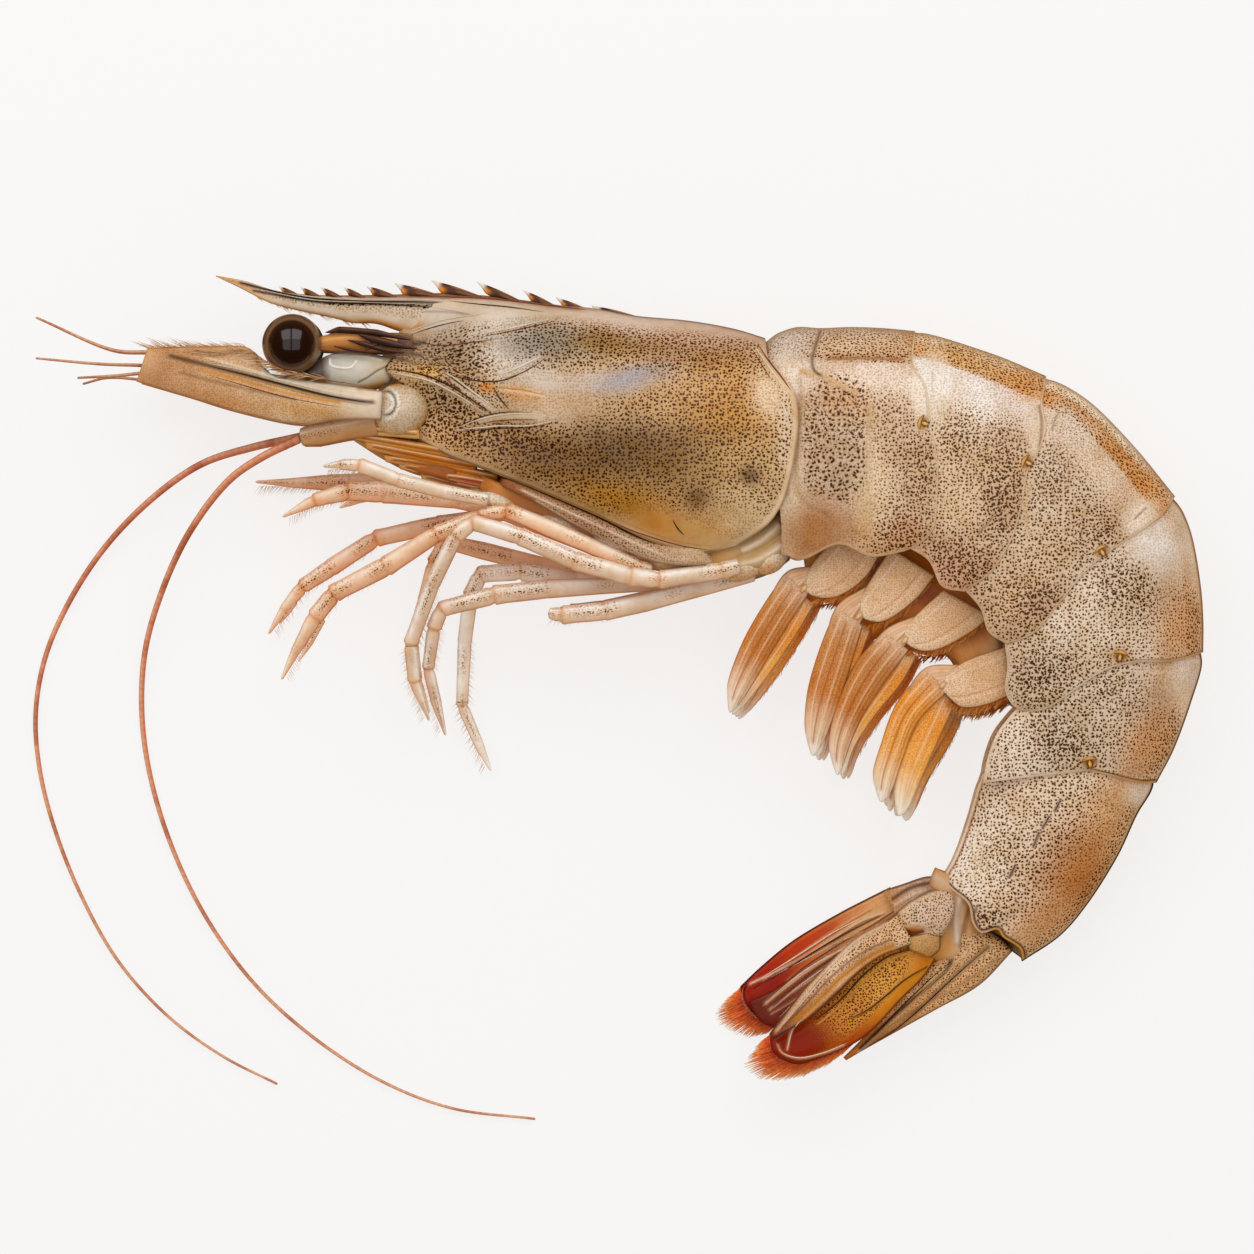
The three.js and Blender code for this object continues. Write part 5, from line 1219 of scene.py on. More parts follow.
for i, leg in enumerate(SWIM_LEGS):
    for side in ("left", "right"):
        here = side == "left"
        move = np.array((0, 0) if here else SWIM_STAGGER)
        z = leg["z"] if here else 2 * MIDPLANE - leg["z"]
        part = {key: tuple((np.array(line) + move).tolist() for line in leg[key])
                for key in ("plate", "outer", "inner")}
        plate = stops("0 222,180,136  .5 232,194,156  1 234,204,172")
        # Painted shade: the plates on the far side get a darker orange.
        if not here:
            plate = stops("0 190,116,50  .6 206,130,62  1 216,150,84")
        oar = stops("0 222,184,152  .2 206,144,88  .55 206,132,68  .8 232,200,168  1 246,236,226")
        fire = stops("0 224,176,132  .22 242,162,76  .6 250,182,100  .82 240,210,174  1 246,236,226")
        lead = [patch(*part[key], np.linspace(0.03, 0.93, 12), np.full(12, across)).tolist()
                for key, across in (("outer", 0.45), ("outer", 0.68), ("inner", 0.6), ("outer", 0.24),
                                    ("plate", 0.8), ("plate", 0.2), ("outer", 0.84), ("plate", 0.72))]
        blade(f"swim_plate_{i + 1}_{side}", part["plate"], [f"pleopod_{i + 1}_{side}"], PADDLE,
              z + 0.2, (0.4, 0.3), plate, 70, 36, fleck=(0.1, 0.11, 0.09), cup=0.12 if here else -0.1,
              edge=(rgb(184, 122, 70), 0.13, 0.8), blunt=0.8,
              # Painted highlight: the two pale streaks on the plate are its white sheen.
              ridges=[(lead[4], 0.05, 0.09, rgb(240, 216, 188), 0.4),
                      (lead[5], 0.05, 0.12, rgb(244, 226, 206), 0.5),
                      (lead[7], -0.04, 0.08, rgb(186, 128, 80), 0.6)])
        blade(f"swim_inner_{i + 1}_{side}", part["inner"], [], PADDLE,
              lambda s: z - 0.9 - (1.2 if here else 0.0) * s, (0.35, 0.18), fire, 80, 26,
              fleck=(0.08, 0.06, 0.0), cup=0.2, edge=(rgb(206, 136, 76), 0.14, 0.7), blunt=0.8,
              # Painted highlight: the pale strip along the inner blade.
              strands=0.2, ridges=[(lead[2], 0.12, 0.1, rgb(236, 200, 160), 0.7)])
        blade(f"swim_outer_{i + 1}_{side}", part["outer"], [], PADDLE,
              lambda s: z - 0.1 - (1.6 if here else 0.2) * s, (0.42, 0.2), fire if i > 2 else oar, 80, 34,
              fleck=(0.06, 0.08, 0.0), cup=0.25, edge=(rgb(186, 112, 58), 0.13, 0.75), blunt=0.8,
              strands=0.2,
              ridges=[(lead[0], 0.1, 0.08, rgb(158, 84, 36), 0.75),
                      # Painted highlight: the two pale strips along the outer blade.
                      (lead[1], 0.1, 0.09, rgb(238, 206, 172), 0.6),
                      (lead[3], 0.1, 0.1, rgb(236, 206, 176), 0.6),
                      (lead[6], 0.06, 0.07, rgb(158, 86, 40), 0.6)])
        a, b, c, d = (patch(*part[key], np.array([s]), np.array([t]))[0] for key, s, t in (
            ("plate", 0.66, 0.0), ("plate", 0.97, 0.6), ("outer", 0.3, 0.06), ("outer", 0.24, 0.72)))
        joint = ([a, b], [c, d], [np.array(part["outer"][0][0]) + [0.04, 0.04]], [(b + d) / 2])
        down = np.linspace(0.08, 0.92, 6)[:, None]
        pleat = [mix_lines(mix_lines(a, b, k), mix_lines(c, d, k), down) for k in (0.3, 0.6)]
        blade(f"swim_joint_{i + 1}_{side}", joint, [], PADDLE, z - 0.05, (0.42, 0.04),
              stops("0 222,180,142  .35 224,182,148  .7 212,152,102  1 206,138,78"), 40, 24, cup=0.05,
              edge=(rgb(190, 126, 74), 0.1, 0.5), blunt=0.6, strands=0.2,
              # Painted highlight: the two pale pleats of the joint piece.
              ridges=[(pleat[0], 0.06, 0.07, rgb(244, 226, 206), 0.7),
                      (pleat[1], 0.05, 0.06, rgb(240, 216, 190), 0.5),
                      (mix_lines(*pleat, 0.5), -0.06, 0.08, rgb(172, 98, 44), 0.7)])
        knee = np.mean([part["outer"][0][-1], part["plate"][1][0]], axis=0)
        points, share = egg((*knee, z + 0.45), (0.5, 0.28, 0.3), 48)
        skin(f"swim_knee_{i + 1}_{side}", points, [], PADDLE,
             tint=ramp(share, stops("0 238,206,170  .4 206,146,92  .7 160,92,40")))
        under = np.array([part["plate"][0][-1], *part["plate"][3], part["plate"][1][-1]])
        root = spline(under, 60)
        tip = root + np.array([-0.6, -0.75]) * (0.6 + 0.5 * np.sin(np.linspace(0, np.pi, 60)))[:, None]
        hairs(f"swim_hairs_{i + 1}_{side}", "swimming_leg", root, tip, 0.1,
              stops("0 206,110,34  .6 226,142,64  1 240,188,126"), 40 + i, (z, z - 0.4), 0.14)
        outer = np.array([part["inner"][0][-1], *part["inner"][3]])
        root = spline(outer, 50)
        hairs(f"swim_fringe_{i + 1}_{side}", "swimming_leg", root, root + [-0.3, -0.6], 0.03,
              stops("0 212,140,80  1 236,204,170"), 60 + i, (z - 1.0, z - 1.6), 0.1)

# ---- Underside of the head --------------------------------------------------------------------
# Soft breast between the gill covers, where the walking legs are rooted in short knobbed coxae,
# with the mauve lower strip of the gill cover hanging over it on each side.
blade("breast_core",
      (at("478,471.5 474,485"), at("784,508 784,558"),
       at("506,483 536,495 594,520.5 651,547.5 699,558.5 739,551 759,540 775,522"),
       at("492,500 530,524 596,552 653,570 699,576 737,576 768,568")), ["breast"], SKIN,
      MIDPLANE, (5.2, 4.9), stops("0 190,122,60  .45 184,122,70  .8 206,174,132  1 196,156,104"),
      120, 40,
      ridges=[(at("640,545 690,560 730,562 770,556"), -0.2, 0.3, rgb(176, 120, 58), 0.6)])
blade("gill_strip",
      (at("500,476 496,484"), at("712,545 724,568"), at("536,490 596,515 653,541"),
       at("532,502 577,528 623,552 668,567")),
      [], SKIN, MIDPLANE, (7.0, 7.0), stops("0 160,96,58  .2 166,122,90  .6 186,152,122  1 212,186,152"),
      120, 40, fleck=(0.1, 0.24, 0.2, 0.1), edge=(rgb(196, 160, 130), 0.16, 0.5),
      ridges=[(at("520,490 580,518 640,546 664,556"), 0.1, 0.14, rgb(226, 204, 182), 0.7),
              (at("534,500 578,526 624,550 668,565"), 0.1, 0.12, rgb(222, 196, 168), 0.7)])
blade("breast_fold", (at("698,538 706,583"), at("788,500 790,560"), at("754,522"), at("756,579 778,569")),
      [], SKIN, MIDPLANE, (5.6, 5.6),
      stops("0 190,130,60  .22 196,150,92  .5 190,154,108  1 190,150,100"), 60, 40,
      ridges=[(at("740,552 760,541 780,524"), 0.3, 0.4, rgb(230, 212, 188), 0.7),
              (at("734,566 758,560 784,544"), 0.2, 0.3, rgb(236, 220, 198), 0.7),
              (at("736,558 762,548 784,532"), -0.2, 0.2, rgb(190, 150, 96), 0.6),
              (at("745,573 768,566 786,556"), -0.2, 0.2, rgb(190, 146, 90), 0.6)])
COXAE = [(at("500,503"), 2.2, 0.8, -22), (at("560,527"), 2.6, 0.9, -24), (at("612,546"), 2.4, 1.0, -24),
         (at("640,549"), 1.6, 1.3, -40), (at("668,558"), 1.7, 1.2, 20), (at("704,569"), 2.6, 0.8, 4),
         (at("742,568"), 2.2, 1.3, 18), (at("770,559"), 1.9, 1.4, 38)]
for i, (spot, size, wide, turn) in enumerate(COXAE):
    for side, sign in (("left", 1), ("right", -1)):
        points, share = egg((*spot[0], MIDPLANE + sign * 4.4), (size, wide, 1.3), turn)
        points[..., 2] = np.maximum(points[..., 2], 0)
        skin(f"coxa_{i + 1}_{side}", points, [], SKIN, fleck=0.06,
             tint=ramp((points[..., 1] - spot[0][1]) / wide,
                       stops("-1 206,160,110  0 226,202,174  .7 238,224,208")))

# ---- Mouth field ------------------------------------------------------------------------------
# Layers of flat chewing limbs folded forward under the head, horn brown and amber, with pale
# lit edges and one blood-red lobe, rooted on a soft core.
blade("mouth_core",
      (at("358,434 354,441"), at("463,469.5 462,487"), at("390,447 414,451 441,461.5"),
       at("384,460 411,473 440,481")),
      ["mouth_field"], SKIN, MIDPLANE, (1.6, 3.4),
      stops("0 200,150,86  .5 168,100,40  1 150,84,36"))
LAMELLAE = [
    (at("420,430 421,440"), at("348,428 350,434"), at("385,426"), at("386,437"), 12.6, rgb(206, 158, 96)),
    (at("455,449 455,459"), at("356,433 356,440"), at("405,440"), at("403,450"), 12.1, rgb(200, 128, 44)),
    (at("478,462 476,472"), at("365,441 367,449"), at("420,450"), at("418,462"), 11.9, rgb(190, 108, 24)),
    (at("500,474 497,484"), at("384,455 386,462"), at("440,461"), at("438,472"), 11.6, rgb(206, 122, 34)),
    (at("506,482 502,491"), at("398,461 400,469"), at("450,470"), at("446,480"), 11.4, rgb(206, 146, 96)),
    (at("500,482 496,490"), at("444,473 446,480"), at("470,476"), at("468,484"), 12.3, rgb(176, 70, 42)),
    (at("520,492 516,500"), at("420,472 422,479"), at("465,482"), at("462,490"), 11.2, rgb(186, 116, 72)),
    (at("560,512 556,520"), at("470,486 470,494"), at("515,496"), at("512,506"), 11.7, rgb(178, 112, 66)),
]
for i, (*lines, level, colour) in enumerate(LAMELLAE):
    for side in ("left", "right"):
        z = level if side == "left" else 2 * MIDPLANE - level
        middle_line = patch(*lines, np.linspace(0.02, 0.95, 10), np.full(10, 0.3)).tolist()
        vein = patch(*lines, np.linspace(0.02, 0.95, 10), np.full(10, 0.62)).tolist()
        blade(f"mouth_limb_{i + 1}_{side}", lines, [], SKIN,
              lambda s: z - 0.6 * (z - MIDPLANE) / 3 * s, (0.42, 0.2),
              [(0, colour), (0.6, colour * 1.1), (1, lay(colour, rgb(226, 180, 120), np.array(0.5)))],
              60, 16, cup=0.15, edge=(rgb(222, 168, 104), 0.16, 0.7),
              ridges=[(middle_line, 0.16, 0.12, rgb(232, 200, 160), 0.7),
                      (vein, -0.08, 0.1, rgb(112, 58, 22), 0.7)])

# ---- Walking legs -----------------------------------------------------------------------------
# Five pairs and the last pair of mouth limbs before them: jointed tubes of thin clear shell, a
# little swollen at each joint; the first three pairs end in small pincers, the rest in claws.
LEG = finish("walking_leg", shell, Coat_Weight=0.3, Coat_Roughness=0.1, Subsurface_Weight=0.3,
             Subsurface_Scale=0.0015, Specular_IOR_Level=0.2)
LIMBS = {
    "maxilliped_left": (at("490,501,14.4 443,492,14.3 400,481,14 361,466,13.4 342,465,13 324,467,12.6"),
                        [0.55, 0.6, 0.6, 0.6, 0.4, 0.1]),
    "maxilliped_right": (at("490,499,3.4 430,489,3.6 381,481,3.8 327,482,3.6 290,482,3.2 253,481,2.8"),
                         [0.55, 0.8, 0.8, 0.7, 0.4, 0.1]),
    "leg_1_left": (at("570,538,10.4 530,524,10.4 500,512,10.4 460,502,10.2 384,492,9.6 349,491,9.2 "
                      "315,500,8.6 282,517,8"),
                   [0.55, 0.6, 0.6, 0.6, 0.95, 0.8, 0.55, 0.1], at("366,497,9.2 350,503,9.1 339,508,8.9")),
    "leg_1_right": (at("566,537,6.6 530,523,6.8 500,511,6.8 455,501,6.8 384,491,6.6 349,491,6.2 "
                       "320,498,5.8 290,512,5.2"),
                    [0.55, 0.6, 0.6, 0.6, 0.9, 0.8, 0.55, 0.1], at("366,497,6.2 350,502,6.1 341,506,5.9")),
    "leg_2_left": (at("652,572,14 640,568,14.2 590,546,14.5 548,528,14.5 508,511,14.3 481,516,13.6 "
                      "438,534,12.2 387,566,10.4 334,593,8 315,616,7 294,652,5.4 280,680,4.4"),
                   [0.6, 0.65, 0.7, 0.75, 0.65, 0.6, 0.7, 0.85, 0.75, 0.7, 0.4, 0.1],
                   at("322,618,6.9 309,643,5.9 297,662,5.1")),
    "leg_2_right": (at("650,570,4.9 636,565,4.9 590,546,4.8 548,529,4.8 508,513,4.8 476,517,4.8 "
                       "437,523,4.9 411,530,4.8 375,538,4.5 330,567,3.8 301,586,3 282,609,2.2 266,634,1.4"),
                    [0.6, 0.6, 0.65, 0.7, 0.6, 0.6, 0.65, 0.75, 0.7, 0.75, 0.6, 0.4, 0.1],
                    at("293,600,2.6 284,613,2.1 277,624,1.7")),
    "leg_3_left": (at("740,566,14.4 722,571,14.6 659,580,14.8 631,577,14.8 575,561,14.9 521,537,14.9 "
                      "474,523,14.8 457,536,14.4 433,584,12.5 411,643,10 414,681,8.6 429,721,7.2"),
                   [0.65, 0.75, 0.75, 0.8, 0.8, 0.75, 0.65, 0.65, 0.65, 0.6, 0.5, 0.1]),
    "leg_3_right": (at("650,580,2.9 588,576,2.9 548,567,2.9 481,550,2.9 444,541,3 433,562,3.2 423,600,3 "
                       "411,640,2.4 416,680,1.8 428,714,1.2"),
                    [0.6, 0.7, 0.75, 0.75, 0.6, 0.6, 0.55, 0.5, 0.4, 0.1]),
    "leg_4_left": (at("690,579,11 645,584,11.1 602,586,11.2 548,589,11.2 495,595,11 442,609,10.4 "
                      "434,628,10 428,668,8 436,703,6.4 445,736,5.2"),
                   [0.6, 0.65, 0.7, 0.8, 0.8, 0.65, 0.6, 0.5, 0.45, 0.1]),
    "leg_4_right": (at("690,579,6.6 650,583,6.6 575,580,6.4 521,571,6 480,574,5.6 470,595,5.2 464,641,4.2 "
                       "461,705,2.6 479,748,1.6 490,772,1.1"),
                    [0.6, 0.65, 0.75, 0.8, 0.7, 0.65, 0.6, 0.5, 0.4, 0.1]),
    "leg_5_left": (at("755,574,12.6 716,584,12.6 681,593,12.6 643,603,12.5 606,611,12.4 563,615,12.2 "
                      "548,613,12"),
                   [0.6, 0.7, 0.75, 0.8, 0.8, 0.75, 0.4]),
    "leg_5_right": (at("752,575,4.8 712,585,4.8 675,593,4.6 640,601,4.4 606,608,4.2 570,612,4 558,611,3.9"),
                    [0.6, 0.65, 0.7, 0.75, 0.7, 0.65, 0.35]),
}
# The outer part of the last legs is folded back beneath the rest.
FOLDED = {"leg_5_left": (at("557,613.5,11.8 564,613,10.6 606,609,10.2 650,601,10.1 676,594,10.2"),
                         [0.35, 0.5, 0.5, 0.45, 0.12]),
          "leg_5_right": (at("566,611.5,3.7 574,611,2.5 620,606,2.1 668,596,2"), [0.35, 0.5, 0.45, 0.12])}


CORNER = 0.2  # how far the corners of a limb are rounded off


def limb(name, path, radii, nodes, material, tones, sides=22, fine=0.14, joints=0.16, fleck=0.28, flat=0.72):
    """Flattened tube along joints: straight between them with the corners rounded off. Each
    piece widens to its far end, where the next one is socketed in it. tones are its painted
    highlight line, flank, edge and joint colours, laid round the tube by how far each point faces
    up and to the side: the upper side facing the lamps is painted lighter, and the other side takes
    more of the edge colour."""
    path, radii = np.array(path, float), np.array(radii, float)
    legs = np.linalg.norm(np.diff(path, axis=0), axis=1)
    marks = np.concatenate([[0], np.cumsum(legs)])
    along = np.linspace(0, marks[-1], int(marks[-1] / fine) + 2)
    offs = np.linspace(-1, 1, 9) * CORNER * 3
    blend = bell(offs / (CORNER * 1.5))
    line = 0
    for share, off in zip(blend, offs):
        spots = np.clip(along + off, 0, marks[-1])
        line = line + share * np.stack([np.interp(spots, marks, path[:, c]) for c in range(3)], axis=1)
    line = line / blend.sum()
    line[0], line[-1] = path[0], path[-1]
    which = np.clip(np.searchsorted(marks, along, side="right") - 1, 0, len(legs) - 1)
    part = (along - marks[which]) / legs[which]
    near = np.minimum(part, 1 - part) * legs[which]
    bent = np.zeros(len(path))
    turn = np.diff(path, axis=0) / legs[:, None]
    bent[1:-1] = np.clip(((1 - (turn[1:] * turn[:-1]).sum(1)) * 60), 0.0, 1)
    real = np.where(part < 0.5, bent[which], bent[which + 1])
    radius = np.interp(along, marks, radii)
    radius = radius * (1 - joints * real * bell(((part * legs[which]) - 0.25) / 0.3) * (part < 0.5)
                       + joints * 0.5 * real * bell((near - 0.1) / 0.5) * (part > 0.5))
    radius[0] = radius[-1] = 0
    radius[1] *= 0.8
    way = unit(np.gradient(line, axis=0))
    side = unit(np.cross(way, [0, 0, 1.0]))
    side = side * np.where(side[:, 1:2] < 0, -1, 1)
    up = np.cross(side, way)
    up = up * np.where(up[:, 2:] < 0, -1, 1)
    a = np.linspace(0, 2 * np.pi, sides, endpoint=False)
    spoke = side[:, None] * np.sin(a)[None, :, None] + up[:, None] * np.cos(a)[None, :, None] * flat
    points = line[:, None] + spoke * radius[:, None, None]
    points[..., 2] = np.maximum(points[..., 2], 0.0)
    lit, flank, rim, joint = tones
    across = np.sin(a)[None, :] + 0 * radius[:, None]
    above = ease(-0.15, 0.1, np.cos(a))[None, :] * np.ones_like(across)
    tint = plain(flank, across)
    tint = lay(tint, rim, 0.8 * ease(0.8, 0.98, np.abs(across)) + 0.25 * ease(0.1, -0.7, across))
    # Painted light: the upper side facing the lamps is lighter, with a painted highlight line along it.
    tint = lay(tint, lit, 0.35 * ease(-0.2, 0.5, across) * above)
    tint = lay(tint, lit, 0.95 * bell((across - 0.45) / 0.13) * above)
    collar = (bell(near / 0.16) * real)[:, None] * np.ones_like(across)
    tint = lay(tint, joint, 0.45 * bell(near / 0.7)[:, None] * real[:, None] * np.ones_like(across))
    tint = lay(tint, rim * 0.8, 0.5 * collar)
    row = (bell((across - 0.02) / 0.3) + 0.7 * bell((across - 0.75) / 0.1)) * above
    reach = along[:, None] + 0 * across
    patchy = ease(-0.5, 0.5, np.sin(reach * 0.9) + np.sin(reach * 0.37 + 1))
    weave = np.stack([reach, across * radius.max() * 1.2, 0 * reach], axis=-1)
    skin(name, points, nodes, material, tint=tint, fleck=np.clip(fleck * row * patchy, 0, 0.3), weave=weave)
    return line


# Tones of the limbs: painted highlight line, flank, edge and joint. The far-side copy is more orange with
# darker edges and joints, as painted shade, and the pale copy on leg_4_right is painted light that lifts the
# shade that leg lies in.
NEAR_LEG = (rgb(255, 252, 248), rgb(228, 206, 184), rgb(212, 152, 100), rgb(236, 184, 132))
SHADED_FAR_LEG = (rgb(250, 232, 212), rgb(234, 196, 162), rgb(202, 128, 72), rgb(222, 152, 90))
PAINTED_LIGHT_LEG = (rgb(255, 255, 252), rgb(252, 240, 228), rgb(224, 184, 146), rgb(240, 206, 166))
CLAW_LEG = (rgb(254, 242, 228), rgb(238, 200, 166), rgb(218, 126, 58), rgb(236, 160, 88))
TONES = {"leg_1_left": CLAW_LEG, "leg_2_left": CLAW_LEG, "leg_2_right": CLAW_LEG, "leg_4_right": PAINTED_LIGHT_LEG,
         "leg_3_left": NEAR_LEG, "leg_4_left": NEAR_LEG, "leg_5_left": NEAR_LEG,
         "maxilliped_left": NEAR_LEG}
LIMB_FLESH = 1.2  # the limbs are this much broader than they are deep
for i, (name, (path, radii, *finger)) in enumerate(LIMBS.items()):
    tones = TONES.get(name, SHADED_FAR_LEG)
    line = limb(name, path, np.array(radii) * LIMB_FLESH, [name], LEG, tones)
    for extra in finger:
        limb(f"{name}_finger", extra, [0.42, 0.32, 0.08], [], LEG, tones, sides=12, fine=0.1, joints=0)
    if name in FOLDED:
        limb(f"{name}_fold", *FOLDED[name], [], LEG, tones, sides=14)
    run = line[int(len(line) * (0.1 if "maxilliped" in name else 0.66)):-4]
    way = unit(np.gradient(run, axis=0)[:, :2])
    out = left(way)
    out = out * np.where(out[:, 1:] > 0, -1, 1)
    root = run[:, :2] + out * 0.4
    pick = np.arange(0, len(run), 1 if "maxilliped" in name else 2)
    hairs(f"{name}_hairs", "walking_leg", root[pick], (root + out * 0.75 + way * 0.55)[pick], 0.032,
          stops("0 214,150,92  1 236,212,186"), 90 + i, (run[pick, 2], run[pick, 2] - 0.2), 0.12, 0.05)

# ---- Eyes -------------------------------------------------------------------------------------
# Black compound eyes on short stalks: a glassy cornea over thousands of tiny facets, brown at
# the rim where the light passes through; the stalk is streaked dark over amber.


def cornea(start):
    """Black in the middle and brown-grey at the rim, with faint facets under the gloss."""
    spot = grain(start)
    tint = start.node("ShaderNodeAttribute", {"attribute_name": "tint"})
    facet = spot.node("ShaderNodeTexVoronoi", Vector=spot, Scale=7.0, Randomness=0.15)
    bump = start.node("ShaderNodeBump", Height=facet, Strength=0.05, Distance=0.00004)
    return {"Base_Color": facet.between(0.3, 0.6).mix(tint, (0.72, 0.68, 0.64, 1), "MULTIPLY"),
            "Normal": bump, "Roughness": facet * 0.06 + 0.16}


CORNEA = finish("eye", cornea, Coat_Weight=1.0, Coat_Roughness=0.02, Coat_IOR=1.42, Specular_IOR_Level=0.3,
                IOR=1.4)
for side in ("left", "right"):
    here = side == "left"

    def level(z):
        return z if here else 2 * MIDPLANE - z

    blade(f"head_front_{side}",
          (at("374,334 384,346 390,362"), at("413,334 417,384 425,446"), at("394,333"),
           at("378,396 378,428 400,444")),
          [], SKIN, level(10.0), (1.2, 1.4), stops("0 92,56,34  .5 150,112,78  1 180,144,106"),
          60, 50, fleck=0.1,
          pools=[("396,345", (2.6, 1.3), 0, rgb(70, 48, 40), 0.9, 0),
                 ("404,352", (1.6, 0.3), 20, rgb(150, 122, 100), 0.6, 0),
                 ("410,420", (1.4, 1.6), 0, rgb(216, 180, 122), 0.9, 0)])
    points, share = egg((EYE_CENTRE[0], EYE_CENTRE[1], level(EYE_CENTRE[2])), (3.0, 3.0, 3.0), 0, 96, 64)
    outward = np.abs(share - (0 if here else 1))
    tint = ramp(outward, stops("0 34,15,6  .2 40,20,10  .27 60,36,20  .31 138,104,76  .36 116,86,60  "
                               ".43 122,92,64  .465 136,110,78  .5 90,60,34  1 60,36,22"))
    skin(f"cornea_{side}", points, [f"eye_{side}"], CORNEA, tint=tint)
    limb(f"eye_stem_{side}",
         [(x, y, level(z)) for x, y, z in at("318,345,12.6 345,343,12.2 366,342,11.8 398,345,11.2")],
         [0.7, 1.05, 1.15, 1.0], [f"eyestalk_{side}"], SKIN,
         (rgb(216, 160, 92), rgb(186, 122, 62), rgb(86, 52, 32), rgb(140, 84, 44)), sides=28, joints=0.0,
         fleck=0.0)
    for k, (streak, thick) in enumerate([
            (at("326,334 340,331 356,332 378,334 412,341"), 0.34),
            (at("348,341 364,345 384,351 406,354"), 0.26), (at("358,335 376,341 392,345 418,350"), 0.42),
            (at("366,352 376,346 386,339"), 0.24), (at("334,347 350,351 368,353"), 0.16)]):
        limb(f"eye_streak_{k + 1}_{side}",
             [(x, y, level(13.1 - 0.02 * n)) for n, (x, y) in enumerate(streak)],
             [0.05, *[thick] * (len(streak) - 2), 0.1], [], SKIN,
             (rgb(96, 58, 36), rgb(44, 24, 14), rgb(36, 18, 10), rgb(56, 32, 18)), sides=12, joints=0,
             fleck=0, flat=0.5)

    # ---- Antennules, scales and antennal bases ------------------------------------------------
    # Under the eyes: the pale lens-shaped base of the small feelers, the long stiff scale that
    # steers the body, and the round knuckle and stem that carry the great whip.
    blade(f"antennule_root_{side}",
          (at("394,358 392,384"), at("303,372 307,381"), at("366,354 330,355"), at("364,392 330,389")),
          [f"antennule_base_{side}"], SKIN, level(10.6), (1.2, 0.9),
          stops("0 196,178,150  .35 206,202,188  .66 196,192,180  .76 104,92,80  1 72,60,50"),
          100, 50, cup=1.0 if here else -1.0, edge=(rgb(124, 104, 82), 0.16, 0.85),
          ridges=[(at("331,358 331,365 338,368 352,368 358,360"), 0.2, 0.12, rgb(250, 246, 240), 0.95),
                  (at("318,358 340,356 366,357 384,361"), 0.1, 0.12, rgb(244, 238, 228), 0.8),
                  (at("310,385 340,388 366,389 386,383"), 0.1, 0.36, rgb(196, 156, 82), 0.9),
                  (at("358,384 368,379 378,372 390,366"), -0.1, 0.11, rgb(110, 76, 40), 0.75)])
    blade(f"scale_plate_{side}",
          (at("384,392 382,421"), at("150,349 139,383"),
           at("330,385 300,381 278,378 262,365 252,350 201,348"), at("340,421 303,425.5 236,412 187,397")),
          [f"antennal_scale_{side}"], SKIN,
          level(14.0), (0.7, 0.35),
          stops("0 226,210,190  .25 216,188,152  .5 216,182,144  .75 206,164,122  "
                ".92 194,148,106  1 206,164,120"), 150, 60,
          cup=0.5 if here else -0.5, fleck=(0.0, 0.1, 0.12, 0.04), edge=(rgb(176, 124, 76), 0.26, 0.8),
          ridges=[(at("379,404 340,399 290,388 240,374 200,364 168,356"), 0.22, 0.22, rgb(70, 46, 30), 0.9),
                  (at("376,400 336,394 290,382 240,368 205,358"), 0.2, 0.2, rgb(232, 214, 190), 0.7),
                  (at("345,405 290,395 240,381 200,371"), -0.05, 0.16, rgb(206, 136, 54), 0.9),
                  (at("360,390 320,385 285,380 262,372"), 0.1, 0.4, rgb(214, 206, 194), 0.7),
                  (at("300,402 250,391 210,382 180,374"), -0.1, 0.2, rgb(150, 112, 78), 0.6)],
          pools=[("310,412", (4.5, 0.9), -8, rgb(198, 146, 84), 0.7, 0),
                 ("225,402", (3.5, 0.7), -14, rgb(206, 150, 96), 0.6, 0)])
    upper = spline(at("262,366 252,351 226,349 201,348 170,348 150,349"), 60)
    tuft = upper + np.array([-1.3, 0.55]) * (1 + 0.4 * np.sin(np.arange(60) * 0.9))[:, None]
    hairs(f"scale_hairs_{side}", "soft_skin", upper, tuft, 0.045, stops("0 206,154,100  1 232,200,164"),
          130, (level(14.0), level(14.0)), 0.15)
    inner = spline(at("200,352 225,355 250,352 268,362 292,374 330,380"), 70)
    hairs(f"scale_down_{side}", "soft_skin", inner,
          inner + np.array([-1.9, 0.0]) + 0.3 * np.sin(np.arange(70) * 1.7)[:, None],
          0.05, stops("0 168,112,62  .5 214,170,118  1 234,210,180"), 131,
          (level(14.9), level(14.9)), 0.2)
    points, share = egg((-21.5, 28.9, level(12.0)), (3.0, 2.65, 2.3), 28, 72, 48)
    top = share if here else 1 - share
    ring = np.abs(np.linalg.norm((points[..., :2] - np.array([-22.9, 29.5])) / [1, 1.25], axis=-1) - 0.95)
    tint = ramp(top, stops("0 212,196,176  .24 206,186,160  .36 206,168,116  .44 198,140,66  "
                           ".5 170,110,44  1 186,136,84"))
    front = ease(0.5, 0.4, top) * ease(-0.7, 0.3, points[..., 0] + 22.9)
    tint = lay(tint, rgb(60, 44, 32), 0.85 * bell(ring / 0.13) * front)
    tint = lay(tint, rgb(236, 230, 222), 0.8 * bell((ring - 0.3) / 0.16) * front)
    skin(f"whip_knuckle_{side}", points, [f"antenna_base_{side}"], SKIN, tint=tint, fleck=0.06)
    limb(f"whip_stem_{side}",
         [(x, y, level(z)) for x, y, z in at("300,438,11.9 318,435,11.9 345,430,12 378,424,12.2")],
         [0.85, 1.15, 1.1, 1.25], [f"antenna_stem_{side}"], SKIN,
         (rgb(232, 206, 178), rgb(196, 152, 108), rgb(176, 116, 60), rgb(226, 190, 150)), sides=28,
         fleck=0.2)

